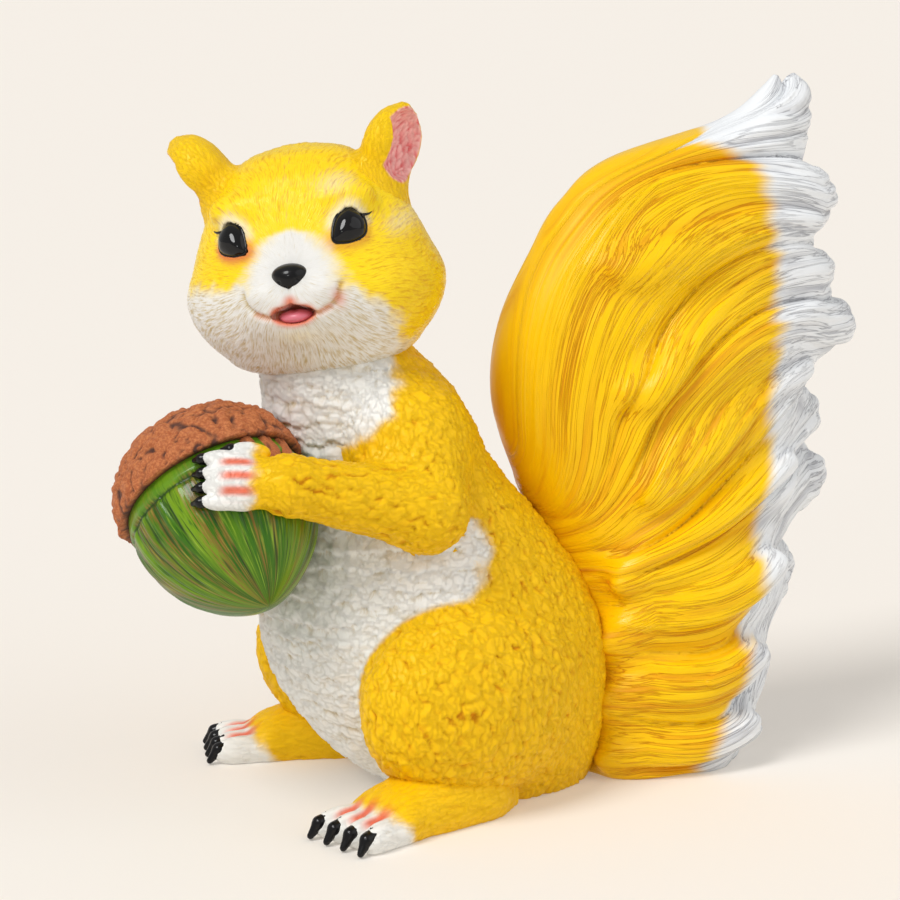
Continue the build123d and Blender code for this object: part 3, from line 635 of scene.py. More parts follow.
snow = stepped(np.interp(ends, white_heights, white_reach) + ragged - left, -12, 12)
# painted shade: deeper gold along the front edge, where it is also airbrushed, and in the valleys between the locks
deep = (1 - stepped(share, 0.0, 0.42)) * 0.25 + (1 - lock_crown) ** 3 * fan * 0.9
edge_lines = 30 * np.minimum(share, 0.25)
flow_strand = np.stack((ends * 0.55 + x * 0.05 - edge_lines, left * 0.05, x * 0.05), axis=1)
shadow_grey = tint(182, 184, 190)
dark_gold = tint(222, 150, 4)
tail_paint = fur_paint("tail_paint", yellow, dark_gold, cool_white, shadow_grey, orange_red, 0.6, 1.5, 1.25)
marks = {
    "white": snow,
    # painted shade in the grooves between the strands, gold on the yellow and grey on the white tips
    "crease_shade": np.clip(0.02 - 0.15 * grooves, -0.3, 0.6),
    "strand": flow_strand,
    "gather": stepped(gather, 1.3, 3.2),
    "sparse": 1 - stepped(gather, 0.4, 1.0),
    "scored": 0.4 * (0.4 + 0.6 * stepped(gather, 0.3, 0.7)) * stepped(share, 0.04, 0.16),
    "blush": 0 * snow,
    "deep": np.clip(deep, 0, 1),
}
tail = cast("tail", points, quads, marks, tail_paint)
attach(tail, "root")
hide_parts("tail_shell")


# Base plate: a plain moulded disc bonded under the body, with a vent in it.
# It stays as the solid, with a fine moulded grain and a little grime.
def plain_paint(name, light, dark, scale, roughness, metal=0.0):
    """Even finish with a fine speckle of a darker tone and a little bump."""
    material = bpy.data.materials.new(name)
    material.use_nodes = True
    tree = material.node_tree
    shader = tree.nodes["Principled BSDF"]
    shader.inputs["Roughness"].default_value = roughness
    shader.inputs["Metallic"].default_value = metal
    speckle = grain(tree, scale, 4)
    tree.links.new(sprayed(tree, spread(tree, speckle, 0.35, 0.75), light, dark), shader.inputs["Base Color"])
    bump = tree.nodes.new("ShaderNodeBump")
    bump.inputs["Strength"].default_value = 0.25
    bump.inputs["Distance"].default_value = 0.0002
    tree.links.new(speckle, bump.inputs["Height"])
    tree.links.new(bump.outputs["Normal"], shader.inputs["Normal"])
    return material


def dress(node, paint):
    """Gives a solid that stays in view its material."""
    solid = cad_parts[node]
    solid.data.materials.clear()
    solid.data.materials.append(paint)


dress("base_plate", plain_paint("base_plate_paint", tint(196, 192, 186), tint(150, 146, 140), 400, 0.6))

# Rods: bright drawn steel, cut to length and set in resin where two castings meet.
# They stay as the solids and lie inside the figure.
rod_steel = plain_paint("rod_steel", tint(190, 190, 192), tint(140, 140, 144), 900, 0.35, 1.0)
for node in ("tail_dowels", "arm_dowels", "foot_dowels", "paw_dowels"):
    dress(node, rod_steel)

# Feet: two solid castings with four toes each, pinned under the haunches.
# They are yellow with white toes, and have orange stripes between the toes.
foot_heel = (62, -18)
foot_splay = math.radians(17)
foot_length = 103
foot_half_width = 24
foot_height = 36
foot_sole = 0.35
# way along the foot, width and height, as shares of the sizes above
foot_levels = np.array((
    (0, 0.45, 0.50),
    (0.15, 0.85, 0.85),
    (0.45, 0.95, 1),
    (0.72, 0.92, 0.84),
    (0.92, 0.95, 0.58),
    (1, 0.70, 0.36),
))
toe_count = 4
toe_pitch = 11.5
toe_fan = math.radians(7)
toe_halves = (18, 7, 9)
toe_middle_height = 7
toe_claw_length = 11
toe_claw_radius = 4.2
foot_step = 1.2


def taper(space, start, end, start_radius, end_radius):
    """Distance from a round rod that tapers between two points."""
    axis = np.asarray(end, dtype=float) - start
    offset = [space[i] - start[i] for i in range(3)]
    share = np.clip(sum(offset[i] * axis[i] for i in range(3)) / (axis @ axis), 0, 1)
    reach = np.sqrt(sum((offset[i] - share * axis[i]) ** 2 for i in range(3)))
    return reach - (start_radius + (end_radius - start_radius) * share)


def foot_axes(side):
    """Heel, direction to the toes and direction across one foot."""
    along = np.array((side * math.sin(foot_splay), -math.cos(foot_splay), 0))
    heel = np.array((side * foot_heel[0], foot_heel[1], 0.0))
    return heel, along, np.cross(up, along)


def toes(side):
    """Middle and direction of each toe of one foot."""
    heel, along, across = foot_axes(side)
    for index in range(toe_count):
        step = index - (toe_count - 1) / 2
        heading = along * math.cos(step * toe_fan) + across * math.sin(step * toe_fan)
        yield heel + along * foot_length + across * (step * toe_pitch) + up * toe_middle_height, heading


def foot_field(space, side):
    """Distance from one foot with its toes, flat underneath."""
    heel, along, across = foot_axes(side)
    offset = [space[i] - heel[i] for i in range(3)]
    way = sum(offset[i] * along[i] for i in range(3))
    sideways = sum(offset[i] * across[i] for i in range(3))
    half_width = foot_half_width * smooth_column(foot_levels, 1, way / foot_length)
    tall = foot_height * smooth_column(foot_levels, 2, way / foot_length)
    half_height = tall * (1 - foot_sole)
    ring = np.sqrt((sideways / half_width) ** 2 + ((offset[2] - tall * foot_sole) / half_height) ** 2)
    form = (ring - 1) * np.minimum(half_width, half_height) * 0.85
    form = np.maximum(form, np.maximum(-way - 3, way - foot_length))
    for middle, heading in toes(side):
        form = melt(form, egg(space, middle, (heading, np.cross(up, heading), up), toe_halves), 3)
    return np.maximum(form, -space[2])


def claw_field(space, root, heading, droop, length, radius):
    """Distance from one blunt claw that hooks down from its root."""
    knuckle = root + heading * length * 0.5 - droop * length * 0.06
    tip = root + heading * length - droop * length * 0.3
    back = taper(space, root, knuckle, radius, radius * 0.9)
    return melt(back, taper(space, knuckle, tip, radius * 0.9, radius * 0.46), 1.5)


def lacquer(name, roughness, specular, varnish):
    """Black lacquer, with a trace of brown where the brush ran thin."""
    material = bpy.data.materials.new(name)
    material.use_nodes = True
    tree = material.node_tree
    shader = tree.nodes["Principled BSDF"]
    shader.inputs["Roughness"].default_value = roughness
    shader.inputs["Specular IOR Level"].default_value = specular
    shader.inputs["Coat Weight"].default_value = varnish
    shader.inputs["Coat Roughness"].default_value = 0.03
    streak = grain(tree, 260, 3)
    colour = sprayed(tree, spread(tree, streak, 0.45, 0.9), tint(9, 9, 11), tint(26, 23, 24))
    tree.links.new(colour, shader.inputs["Base Color"])
    return material


black_lacquer = lacquer("black_lacquer", 0.32, 0.12, 0.35)
for name, side in sides.items():
    heel, along, across = foot_axes(side)
    corners = [heel - along * 8, heel + along * (foot_length + 24)]
    low = np.minimum(*corners) - 36
    high = np.maximum(*corners) + 36
    low[2] = -3
    high[2] = 42
    points, quads, normals = skin(lambda space: foot_field(space, side), low, high, foot_step)
    way = (points - heel) @ along
    sideways = (points - heel) @ across
    comb = combed(along + 0 * points, normals)
    strokes, strand = tufted(points, normals, comb, 5, 14, 2.4, 21)
    points = points + normals * (0.9 * strokes - 0.4)[:, None]
    points[:, 2] = np.maximum(points[:, 2], 0)
    snow = stepped(way + 0.8 * (20 - points[:, 2]) + 4 * cloud(points, 9), foot_length * 0.90, foot_length * 1.04)
    gap = (sideways / toe_pitch + 2) % 1.0
    gap = np.minimum(gap, 1 - gap)
    stripe = (1 - stepped(gap, 0.10, 0.42)) * stepped(way, foot_length * 0.87, foot_length * 0.97)
    stripe = stripe * (1 - stepped(way, foot_length * 1.03, foot_length * 1.12)) * stepped(points[:, 2], 8, 14)
    stripe = stripe * (1 - stepped(np.abs(sideways), toe_pitch * 1.3, toe_pitch * 1.6))
    foot_paint = fur_paint(name + "_foot_paint", yellow, deep_yellow, white, sand, orange_red, 1.3, 0.4, 0.5)
    # painted shade between the hair strokes
    marks = {"white": snow, "crease_shade": 0.55 - 0.5 * strokes, "strand": strand, "blush": 0.9 * stripe, "deep": 0.2 + 0 * snow}
    foot = cast(name + "_foot_fur", points, quads, marks, foot_paint)
    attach(foot, "root")
    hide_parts(name + "_foot")

    def toe_claws(space):
        """Distance from all claws of this foot."""
        form = None
        for middle, heading in toes(side):
            root = middle + heading * (toe_halves[0] - 9) + up * 3.5
            claw = claw_field(space, root, heading, 2.4 * up, toe_claw_length, toe_claw_radius)
            form = claw if form is None else np.minimum(form, claw)
        return np.maximum(form, 0.3 - space[2])

    middle = heel + along * (foot_length + toe_halves[0])
    points, quads, normals = skin(toe_claws, middle - (36, 36, 8), middle + (36, 36, 16), 0.7)
    marks = {"strand": points}
    claws = cast(name + "_toe_claws", points, quads, marks, black_lacquer)
    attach(claws, "root")
    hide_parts(name + "_foot_claws")

# Acorn nut: a smooth hollow casting, scored with lines from cap to point.
# It is glazed green, with yellow-green lights and brown streaks, under a gloss varnish.
acorn_middle = np.array((24.5, -169.7, 173.0))
acorn_tilt = math.radians(44)
acorn_pitch = math.radians(13)
acorn_up = np.array((
    -math.sin(acorn_tilt),
    -math.cos(acorn_tilt) * math.sin(acorn_pitch),
    math.cos(acorn_tilt) * math.cos(acorn_pitch),
))
acorn_back = unit(np.cross(acorn_up, (1, 0, 0)))
acorn_side = np.cross(acorn_up, acorn_back)
nut_radius = 49.5
nut_crown = 46
nut_tip = 62
nut_fullness = 0.62
collar_level = 9
nut_turns = 360
nut_rings = 130


def nut_radius_at(level):
    """Radius of the nut at a level over or under its widest ring."""
    over = nut_radius * np.sqrt(np.clip(1 - (level / nut_crown) ** 2, 0, 1))
    under = nut_radius * np.clip(1 - (level / nut_tip) ** 2, 0, 1) ** nut_fullness
    return np.where(level >= 0, over, under)


def acorn_place(turn, level, radius):
    """Point at a turn round the acorn's axis, a level along it and a distance from it."""
    outward = np.cos(turn)[..., None] * acorn_back + np.sin(turn)[..., None] * acorn_side
    return acorn_middle + acorn_up * np.asarray(level)[..., None] + outward * np.asarray(radius)[..., None]


def turned(rings, turns):
    """Quads of a turned form, ring by ring, closed round the axis."""
    ring, step = np.meshgrid(np.arange(rings - 1), np.arange(turns), indexing="ij")
    next_step = (step + 1) % turns
    corners = (ring * turns + step, ring * turns + next_step, (ring + 1) * turns + next_step, (ring + 1) * turns + step)
    return np.stack(corners, axis=-1).reshape(-1, 4)


swing = np.linspace(-math.pi / 2 + 0.004, math.pi / 2 - 0.004, nut_rings)
nut_levels = np.where(swing < 0, nut_tip * np.sin(swing), nut_crown * np.sin(swing))
turn, level = np.meshgrid(np.linspace(0, 2 * math.pi, nut_turns, endpoint=False), nut_levels)
ring_points = np.stack((np.cos(turn), np.sin(turn), 0.0012 * level), axis=-1).reshape(-1, 3)
bands = cloud(ring_points, 0.30).reshape(turn.shape)
lines = np.clip(3.2 * np.abs(cloud(ring_points + 7.3, 0.13)), 0, 1).reshape(turn.shape)
scores = np.clip(3.2 * np.abs(cloud(ring_points - 4.1, 0.055)), 0, 1).reshape(turn.shape)
ease = stepped(-np.abs(level + 4), -nut_tip * 0.97, -nut_tip * 0.55)
collar = stepped(level, 4.5, 6.5) * (1 - stepped(level, 17, 20))
seam = np.exp(-(((level - 3.5) / 1.3) ** 2))
relief = ease * (0.8 * bands + 0.8 * lines + 0.7 * scores) * (1 - collar) + 1.6 * collar - 1.2 * seam
radius = nut_radius_at(level) * (1 + 0 * turn) + relief * (nut_radius_at(level) / nut_radius)
points = acorn_place(turn, level, radius).reshape(-1, 3)
quads = turned(nut_rings, nut_turns)
marks = {
    "line": np.maximum(np.clip(1.0 - 0.6 * lines - 0.6 * scores, 0, 1) * (1 - collar), seam).ravel(),
    "band": (0.5 + 0.5 * bands).ravel(),
    "collar": collar.ravel(),
    "strand": np.stack((np.cos(turn) * 30, np.sin(turn) * 30, level * 0.05), axis=-1).reshape(-1, 3),
}


def nut_paint(name):
    """Green glaze with dark score lines, light bands and brown streaks."""
    material = bpy.data.materials.new(name)
    material.use_nodes = True
    tree = material.node_tree
    shader = tree.nodes["Principled BSDF"]
    shader.inputs["Roughness"].default_value = 0.3
    shader.inputs["Specular IOR Level"].default_value = 0.2
    shader.inputs["Coat Weight"].default_value = 0.2
    shader.inputs["Coat Roughness"].default_value = 0.12
    fibre = grain(tree, 1.2, 4, marked(tree, "strand", "Vector"))
    patch = grain(tree, 0.16, 2, marked(tree, "strand", "Vector"))
    colour = sprayed(tree, spread(tree, marked(tree, "band"), 0.35, 0.75), tint(54, 106, 6), tint(114, 152, 20))
    brown = reckon(tree, "MULTIPLY", spread(tree, patch, 0.50, 0.62), spread(tree, fibre, 0.40, 0.60))
    colour = sprayed(tree, brown, colour, tint(134, 92, 42))
    colour = sprayed(tree, spread(tree, fibre, 0.52, 0.75), colour, tint(138, 168, 48))
    colour = sprayed(tree, spread(tree, fibre, 0.45, 0.28), colour, tint(40, 84, 12))
    colour = sprayed(tree, spread(tree, marked(tree, "line"), 0.42, 1.0), colour, tint(30, 58, 16))
    colour = sprayed(tree, reckon(tree, "MULTIPLY", marked(tree, "collar"), 0.7), colour, tint(92, 138, 28))
    tree.links.new(colour, shader.inputs["Base Color"])
    bump = tree.nodes.new("ShaderNodeBump")
    bump.inputs["Strength"].default_value = 0.4
    bump.inputs["Distance"].default_value = 0.0004
    tree.links.new(fibre, bump.inputs["Height"])
    tree.links.new(bump.outputs["Normal"], shader.inputs["Normal"])
    return material


nut = cast("acorn_nut_glazed", points, quads, marks, nut_paint("nut_glaze"))
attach(nut, "root")
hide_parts("acorn_nut")

# Acorn cap: a thick cup bonded over the top of the nut, beaten all over with rough scales.
# It is red-brown, dry brushed, with dark stain left in the hollows.
cap_radius = 53.5
cap_rim = 14
cap_top = 57
cap_rings = 90
cap_turns = 300
way = np.linspace(0, 1, cap_rings)
lift = np.sin(way * math.pi / 2)
cap_levels = cap_rim + (cap_top - cap_rim) * lift
cap_radii = cap_radius * np.clip(np.cos(way * math.pi / 2), 0.012, 1) ** 0.82
turn, level = np.meshgrid(np.linspace(0, 2 * math.pi, cap_turns, endpoint=False), cap_levels)
points = acorn_place(turn, level, cap_radii[:, None] * np.ones_like(turn)).reshape(-1, 3)
quads = turned(cap_rings, cap_turns)
normals = facing(points, quads)
outward = points - acorn_middle
normals = normals * np.sign((normals * outward).sum(1, keepdims=True))
comb = combed(-acorn_up + 0 * points, normals)
scales, strand = tufted(warped(points, 5, 2), normals, comb, 8, 12, 5.2, 31)
knobs = knotted(warped(points, 5, 2), 11, 2)
hollow = np.clip(1.2 - 0.55 * scales - 1.0 * knobs, 0, 1)
outer = points + normals * (1.4 * scales + 2.6 * knobs - 1.8)[:, None]
skirt_levels = np.linspace(cap_rim, cap_rim + 14, 8)
turn, level = np.meshgrid(np.linspace(0, 2 * math.pi, cap_turns, endpoint=False), skirt_levels)
inner = acorn_place(turn, level, nut_radius_at(level) + 0.4).reshape(-1, 3)
inner_quads = turned(len(skirt_levels), cap_turns) + len(outer)
step = np.arange(cap_turns)
rim_quads = np.stack((step, len(outer) + step, len(outer) + (step + 1) % cap_turns, (step + 1) % cap_turns), axis=1)
points = np.concatenate((outer, inner))
quads = np.concatenate((quads, inner_quads[:, ::-1], rim_quads))
marks = {
    "hollow": np.concatenate((hollow, np.ones(len(inner)))),
    "strand": np.concatenate((strand, inner)),
}


def cap_paint(name):
    """Dry-brushed red-brown over a dark stain."""
    material = bpy.data.materials.new(name)
    material.use_nodes = True
    tree = material.node_tree
    shader = tree.nodes["Principled BSDF"]
    rub = grain(tree, 420, 5)
    tone = grain(tree, 70, 2)
    colour = sprayed(tree, spread(tree, tone, 0.35, 0.7), tint(174, 92, 46), tint(206, 126, 72))
    colour = sprayed(tree, spread(tree, rub, 0.55, 0.8), colour, tint(224, 152, 106))
    stain = reckon(tree, "ADD", marked(tree, "hollow"), reckon(tree, "MULTIPLY", rub, 0.4))
    colour = sprayed(tree, spread(tree, stain, 0.62, 1.15), colour, tint(82, 46, 34))
    tree.links.new(colour, shader.inputs["Base Color"])
    tree.links.new(spread(tree, rub, -0.5, 1.2), shader.inputs["Roughness"])
    bump = tree.nodes.new("ShaderNodeBump")
    bump.inputs["Strength"].default_value = 0.6
    bump.inputs["Distance"].default_value = 0.0008
    tree.links.new(rub, bump.inputs["Height"])
    tree.links.new(bump.outputs["Normal"], shader.inputs["Normal"])
    return material


cap_stain = cap_paint("cap_stain")
cap = cast("acorn_cap_scaled", points, quads, marks, cap_stain)
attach(cap, "root")
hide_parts("acorn_cap")

# Husk: three ribs of bark that run down the nut from the cap's rim, modelled in putty.
# They are stained brown like the cap, with green showing through.
husk_length = 32
husk_arc = math.radians(11)
husk_step_turn = math.radians(15)
husk_bearing = math.radians(-78)
husk_count = 3
husk_thickness = 3.5


def acorn_coordinates(space):
    """Turn, level and radius of points round the acorn."""
    offset = [space[i] - acorn_middle[i] for i in range(3)]
    level = sum(offset[i] * acorn_up[i] for i in range(3))
    back = sum(offset[i] * acorn_back[i] for i in range(3))
    side = sum(offset[i] * acorn_side[i] for i in range(3))
    return np.arctan2(side, back), level, np.hypot(side, back)


def husk_field(space):
    """Distance from the ribs, rounded along their edges."""
    turn, level, radius = acorn_coordinates(space)
    high = radius - nut_radius_at(level) - husk_thickness
    deep = -(radius - nut_radius_at(level) + 2.5)
    length = np.maximum(level - cap_rim, cap_rim - husk_length - level)
    form = None
    for rib in range(husk_count):
        middle = husk_bearing + rib * husk_step_turn + husk_arc / 2
        beside = (np.abs(turn - middle) - husk_arc / 2) * nut_radius
        round_over = -melt(-(high + 0.09 * (beside + 4.5) ** 2 * (beside > -4.5)), -beside, 2)
        rib_form = np.maximum(np.maximum(round_over, deep), length)
        form = rib_form if form is None else melt(form, rib_form, 1)
    return form


husk_points = acorn_place(
    husk_bearing + np.linspace(0, (husk_count - 1) * husk_step_turn + husk_arc, 7),
    np.linspace(cap_rim - husk_length, cap_rim, 7),
    np.full(7, nut_radius),
)
low = husk_points.min(0) - 24
high = husk_points.max(0) + 24
points, quads, normals = skin(husk_field, low, high, 0.8)
bark = cloud(np.stack(acorn_coordinates(points.T), axis=1) * (22, 0.12, 0.5), 1)
points = points + normals * (0.9 * bark)[:, None]
marks = {"hollow": np.clip(0.45 - 0.9 * bark, 0, 1), "strand": points}
husk = cast("acorn_husk_bark", points, quads, marks, cap_stain)
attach(husk, "root")
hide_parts("acorn_husk")

# Arms: two solid castings, each from its shoulder to the paw that holds the acorn.
# They are pinned and filled at the shoulder, yellow, with white paws and orange stripes.
shoulder_height = 212
shoulder_forward = 66
shoulder_sink = 16
shoulder_radius = 30
elbow_out = 28
elbow_back = -2
elbow_drop = 34
elbow_radius = 21.5
wrist_radius = 15
wrist_reach = 25
palm_out = {"left": (0.866, -0.12, 0.485), "right": (-0.60, 0.15, -0.78)}
palm_along = {"left": (-0.42, -0.91, 0), "right": (0.50, -0.75, -0.40)}
paw_lift = 5
paw_halves = (18, 16.5, 9)
finger_count = 4
finger_pitch = 8
finger_halves = (11, 4.6, 4.8)
finger_turn = math.radians(11)
thumb_turn = math.radians(-5)
thumb_place = 17.5
claw_lead = math.radians(9)
paw_claw_length = 8.5
paw_claw_radius = 3.2
arm_step = 1.3


def skin_point(field, start, direction):
    """Point where a ray leaves a form, and the direction that its skin faces there."""
    start = np.asarray(start, dtype=float)
    direction = unit(direction)
    near = 0.0
    far = 160.0
    for _ in range(40):
        middle = (near + far) / 2
        if field(start + direction * middle) < 0:
            near = middle
        else:
            far = middle
    point = start + direction * near
    slope = [field(point + step) - field(point - step) for step in np.eye(3) * 0.5]
    return point, unit(slope)


def paw_axes(name):
    """Middle of a palm, and its directions along the fingers, across them and off the nut."""
    outward = unit(palm_out[name])
    across = unit(np.cross(outward, palm_along[name]))
    return acorn_middle + outward * (nut_radius + paw_lift), np.cross(across, outward), across, outward


def round_nut(name, turn, sideways):
    """Place ahead of a palm round the nut: its middle, direction and the way off the nut."""
    palm, along, across, outward = paw_axes(name)
    off = outward * math.cos(turn) + along * math.sin(turn)
    ahead = along * math.cos(turn) - outward * math.sin(turn)
    return acorn_middle + across * sideways + off * (nut_radius + paw_lift), ahead, off


finger_places = [finger_pitch * (index - (finger_count - 1) / 2) for index in range(finger_count)]
for name, side in sides.items():
    digits = [(finger_turn, place) for place in finger_places] + [(thumb_turn, -side * thumb_place)]
    palm, along, across, outward = paw_axes(name)
    seat, seat_out = skin_point(torso_field, (0, -shoulder_forward, shoulder_height), (side, 0, 0))
    shoulder = seat - seat_out * shoulder_sink
    elbow = shoulder + np.array((side * elbow_out, elbow_back, -elbow_drop))
    wrist = palm - along * wrist_reach

    def limb_field(space):
        """Distance from this arm's limb, paw and fingers."""
        form = melt(
            taper(space, shoulder, elbow, shoulder_radius, elbow_radius),
            taper(space, elbow, wrist, elbow_radius, wrist_radius),
            10,
        )
        form = melt(form, taper(space, wrist, palm, wrist_radius, paw_halves[2]), 6)
        form = melt(form, egg(space, palm, (along, across, outward), paw_halves), 5)
        for turn, place in digits:
            middle, ahead, off = round_nut(name, turn, place)
            form = melt(form, egg(space, middle, (ahead, across, off), finger_halves), 1.5)
        return form

    def arm_field(space):
        """Distance from the arm, with putty filled in round the shoulder."""
        limb = limb_field(space)
        away = np.sqrt(sum((space[i] - shoulder[i]) ** 2 for i in range(3)))
        fill = 2 + 20 * (1 - stepped(away, 30, 66))
        filled = melt(limb, torso_field(space) + 1.5, fill)
        return np.maximum(filled, limb - 15)

    ends = np.stack((shoulder, elbow, wrist, palm))
    low = ends.min(0) - 46
    high = ends.max(0) + 46
    points, quads, normals = skin(arm_field, low, high, arm_step)
    upper = taper(points.T, shoulder, elbow, 0, 0) < taper(points.T, elbow, wrist, 0, 0)
    heading = np.where(upper[:, None], unit(elbow - shoulder), unit(wrist - elbow))
    comb = combed(heading + 0.25 * unit(np.cross(heading, normals)) * cloud(points, 12)[:, None], normals)
    way = (points - palm) @ along
    sideways = (points - palm) @ across
    loose = warped(points, 6, 3.0)
    strokes, strand = tufted(loose, normals, comb, 4.5, 13, 2.3, 41)
    comb_down = combed(np.array((0, 0.4, -1.0)) + 0 * points, normals)
    curls, curl_strand = tufted(loose, normals, comb_down, 4.4, 11, 2.7, 42)
    knots = knotted(loose * (0.8, 0.8, 1.25), 7, 3)
    near_shoulder = np.linalg.norm(points - shoulder, axis=1) < 38
    curls = 0.9 * curls + 0.3 * knots
    relief = np.where(near_shoulder, 2.6 * curls, 2.2 * strokes + 0.3 * knots) + 0.7 * cloud(points, 6)
    strokes = 0.9 * strokes + 0.15 * knots
    on_paw = stepped(way, -20, -8)
    strand = np.where(near_shoulder[:, None], curl_strand, strand)
    points = points + normals * ((relief - 1.2) * (1 - 0.85 * on_paw))[:, None]
    snow = stepped(way + 5 * cloud(points, 8), -11, 2)
    on_chest = 1 - stepped(torso_field(points.T), 7, 16)
    on_chest = on_chest * (1 - stepped(np.linalg.norm(points - shoulder, axis=1), 46, 60))
    on_chest = on_chest * stepped(points[:, 2], 201, 214)
    snow = np.maximum(snow, on_chest * bib_share(points))
    gap = (sideways / finger_pitch + 10) % 1.0
    gap = np.minimum(gap, 1 - gap)
    stripe = (1 - stepped(gap, 0.08, 0.45)) * stepped(way, -9, 0) * (1 - stepped(way, 8, 15))
    stripe = stripe * (1 - stepped(np.abs(sideways), finger_pitch * 1.4, finger_pitch * 1.8))
    stripe = stripe * stepped((points - palm) @ outward, 0, 4)
    arm_paint = fur_paint(name + "_arm_paint", yellow, deep_yellow, white, sand, orange_red, 1.3, 0.5, 0.5)
    # painted shade between the strokes and curls, faint on the paw
    crease_shade = (0.95 - np.where(near_shoulder, curls, strokes)) * (1 - 0.8 * on_paw)
    marks = {"white": snow, "crease_shade": crease_shade, "strand": strand, "blush": 0.9 * stripe, "deep": 0.25 + 0 * snow}
    arm = cast(name + "_arm_fur", points, quads, marks, arm_paint)
    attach(arm, "root")
    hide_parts(name + "_arm")

    def paw_claws(space):
        """Distance from all claws of this paw."""
        form = None
        for turn, place in digits:
            root, ahead, off = round_nut(name, turn + claw_lead, place)
            claw = claw_field(space, root - ahead * 2, ahead, off, paw_claw_length, paw_claw_radius)
            form = claw if form is None else np.minimum(form, claw)
        return form

    middle = round_nut(name, finger_turn + claw_lead, 0)[0]
    points, quads, normals = skin(paw_claws, middle - 36, middle + 36, 0.7)
    claws = cast(name + "_paw_claws_black", points, quads, {"strand": points}, black_lacquer)
    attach(claws, "root")
    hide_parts(name + "_paw_claws")

# Head: a hollow casting bonded over the neck, with full cheeks, lip pads and a small open mouth.
# Fine hair is scratched into it from the nose outwards. It is yellow, airbrushed white and cream.
head_middle = np.array((0.0, -105.0, 302.0))
head_turn = math.radians(56)
head_roll = math.radians(8)
level_left = np.array((math.cos(head_turn), math.sin(head_turn), 0))
head_left = level_left * math.cos(head_roll) + up * math.sin(head_roll)
head_up = up * math.cos(head_roll) - level_left * math.sin(head_roll)
head_ahead = np.cross(head_left, head_up)
head_axes = np.stack((head_left, head_ahead, head_up))
skull_height = 127
skull_below = 60
skull_half_width = 72
skull_half_depth = 62
# height and girth, as shares of the sizes above
skull_levels = np.array((
    (0, 0.26),
    (0.055, 0.60),
    (0.14, 0.79),
    (0.25, 0.94),
    (0.37, 1),
    (0.53, 0.91),
    (0.69, 0.79),
    (0.83, 0.65),
    (0.93, 0.47),
    (0.98, 0.28),
    (1, 0.10),
))
# all places on the face are given across to its left, ahead and up from the middle of the head
own_axes = np.eye(3)
muzzle_middle = (0, 44, -13)
muzzle_halves = (28, 25, 20)
pad_middle = (13.5, 54, -8)
pad_halves = (15.5, 14, 10.8)
chin_middle = (0, 48, -27)
chin_halves = (16, 13, 8)
brow_middle = (30, 32, 38)
brow_halves = (15, 9, 8)
mouth_middle = (0, 66, -18.5)
mouth_halves = (11, 13, 5.4)
# the smile runs from the corner of the mouth round the lip pad, across and up
smile_line = ((8, -18.5), (14, -19.5), (20.5, -17), (25.5, -12.5), (27.5, -6))
eye_bearing = (33, 45, 23)
eye_radius = 13
eye_sink = 6
# lid line round the eye, from the top, out from the nose and up
lid_points = (
    (1.4, 10.2),
    (6.8, 6.8),
    (9.4, 0.5),
    (7.2, -6.2),
    (0.5, -9.0),
    (-6.0, -8.8),
    (-10.4, -7.0),
    (-9.6, -1.4),
    (-5.5, 6.0),
)
head_step = 1.15


def skull_field(space):
    """Distance from the skull."""
    across, ahead, high = space
    girth = smooth_column(skull_levels, 1, (high + skull_below) / skull_height)
    ring = np.sqrt((across / (skull_half_width * girth)) ** 2 + (ahead / (skull_half_depth * girth)) ** 2)
    wall = (ring - 1) * skull_half_depth * girth * 0.9
    return np.maximum(wall, np.maximum(high - skull_height + skull_below, -skull_below - high))


def bare_face_field(space):
    """Distance from the skull and muzzle, which the eyes and nose are set on."""
    return np.minimum(skull_field(space), egg(space, muzzle_middle, own_axes, muzzle_halves))


def face_field(space):
    """Distance from the whole head with its pads, chin and brows, and the mouth cut in."""
    mirrored = (np.abs(space[0]), space[1], space[2])
    form = melt(skull_field(space), egg(space, muzzle_middle, own_axes, muzzle_halves), 12)
    form = melt(form, egg(mirrored, brow_middle, own_axes, brow_halves), 9)
    form = melt(form, egg(space, chin_middle, own_axes, chin_halves), 5)
    form = cut(form, egg(space, mouth_middle, own_axes, mouth_halves), 1.5)
    return melt(form, egg(mirrored, pad_middle, own_axes, pad_halves), 2.5)


def closed_curve(corners, count):
    """Evenly run points on a smooth closed curve through corners."""
    corners = np.array(corners, dtype=float)
    run = np.arange(count) * len(corners) / count
    first = run.astype(int)
    t = (run - first)[:, None]
    before, start, end, after = [corners[(first + shift) % len(corners)] for shift in (-1, 0, 1, 2)]
    slope = (end - before) / 2
    next_slope = (after - start) / 2
    from_start = start * (1 + 2 * t) * (1 - t) ** 2 + slope * t * (1 - t) ** 2
    return from_start + end * t * t * (3 - 2 * t) + next_slope * t * t * (t - 1)


def line_distance(first, second, line):
    """Distance in a plane from points to a broken line."""
    best = np.full(len(first), 1e9)
    for start, end in zip(line[:-1], line[1:]):
        run = (end[0] - start[0], end[1] - start[1])
        share = ((first - start[0]) * run[0] + (second - start[1]) * run[1]) / (run[0] ** 2 + run[1] ** 2)
        share = np.clip(share, 0, 1)
        reach = np.hypot(first - start[0] - share * run[0], second - start[1] - share * run[1])
        best = np.minimum(best, reach)
    return best


def eye_place(side):
    """Middle of an eye, and its directions out of the face, up, and away from the nose."""
    point, out = skin_point(bare_face_field, (0, 0, 0), (side * eye_bearing[0], eye_bearing[1], eye_bearing[2]))
    high = unit(up - out * out[2])
    beside = np.cross(out, high)
    return point - out * eye_sink, out, high, beside * np.sign(beside[0] * side)


def on_head(points):
    """Places on the head turned into places in the room."""
    return head_middle + points @ head_axes


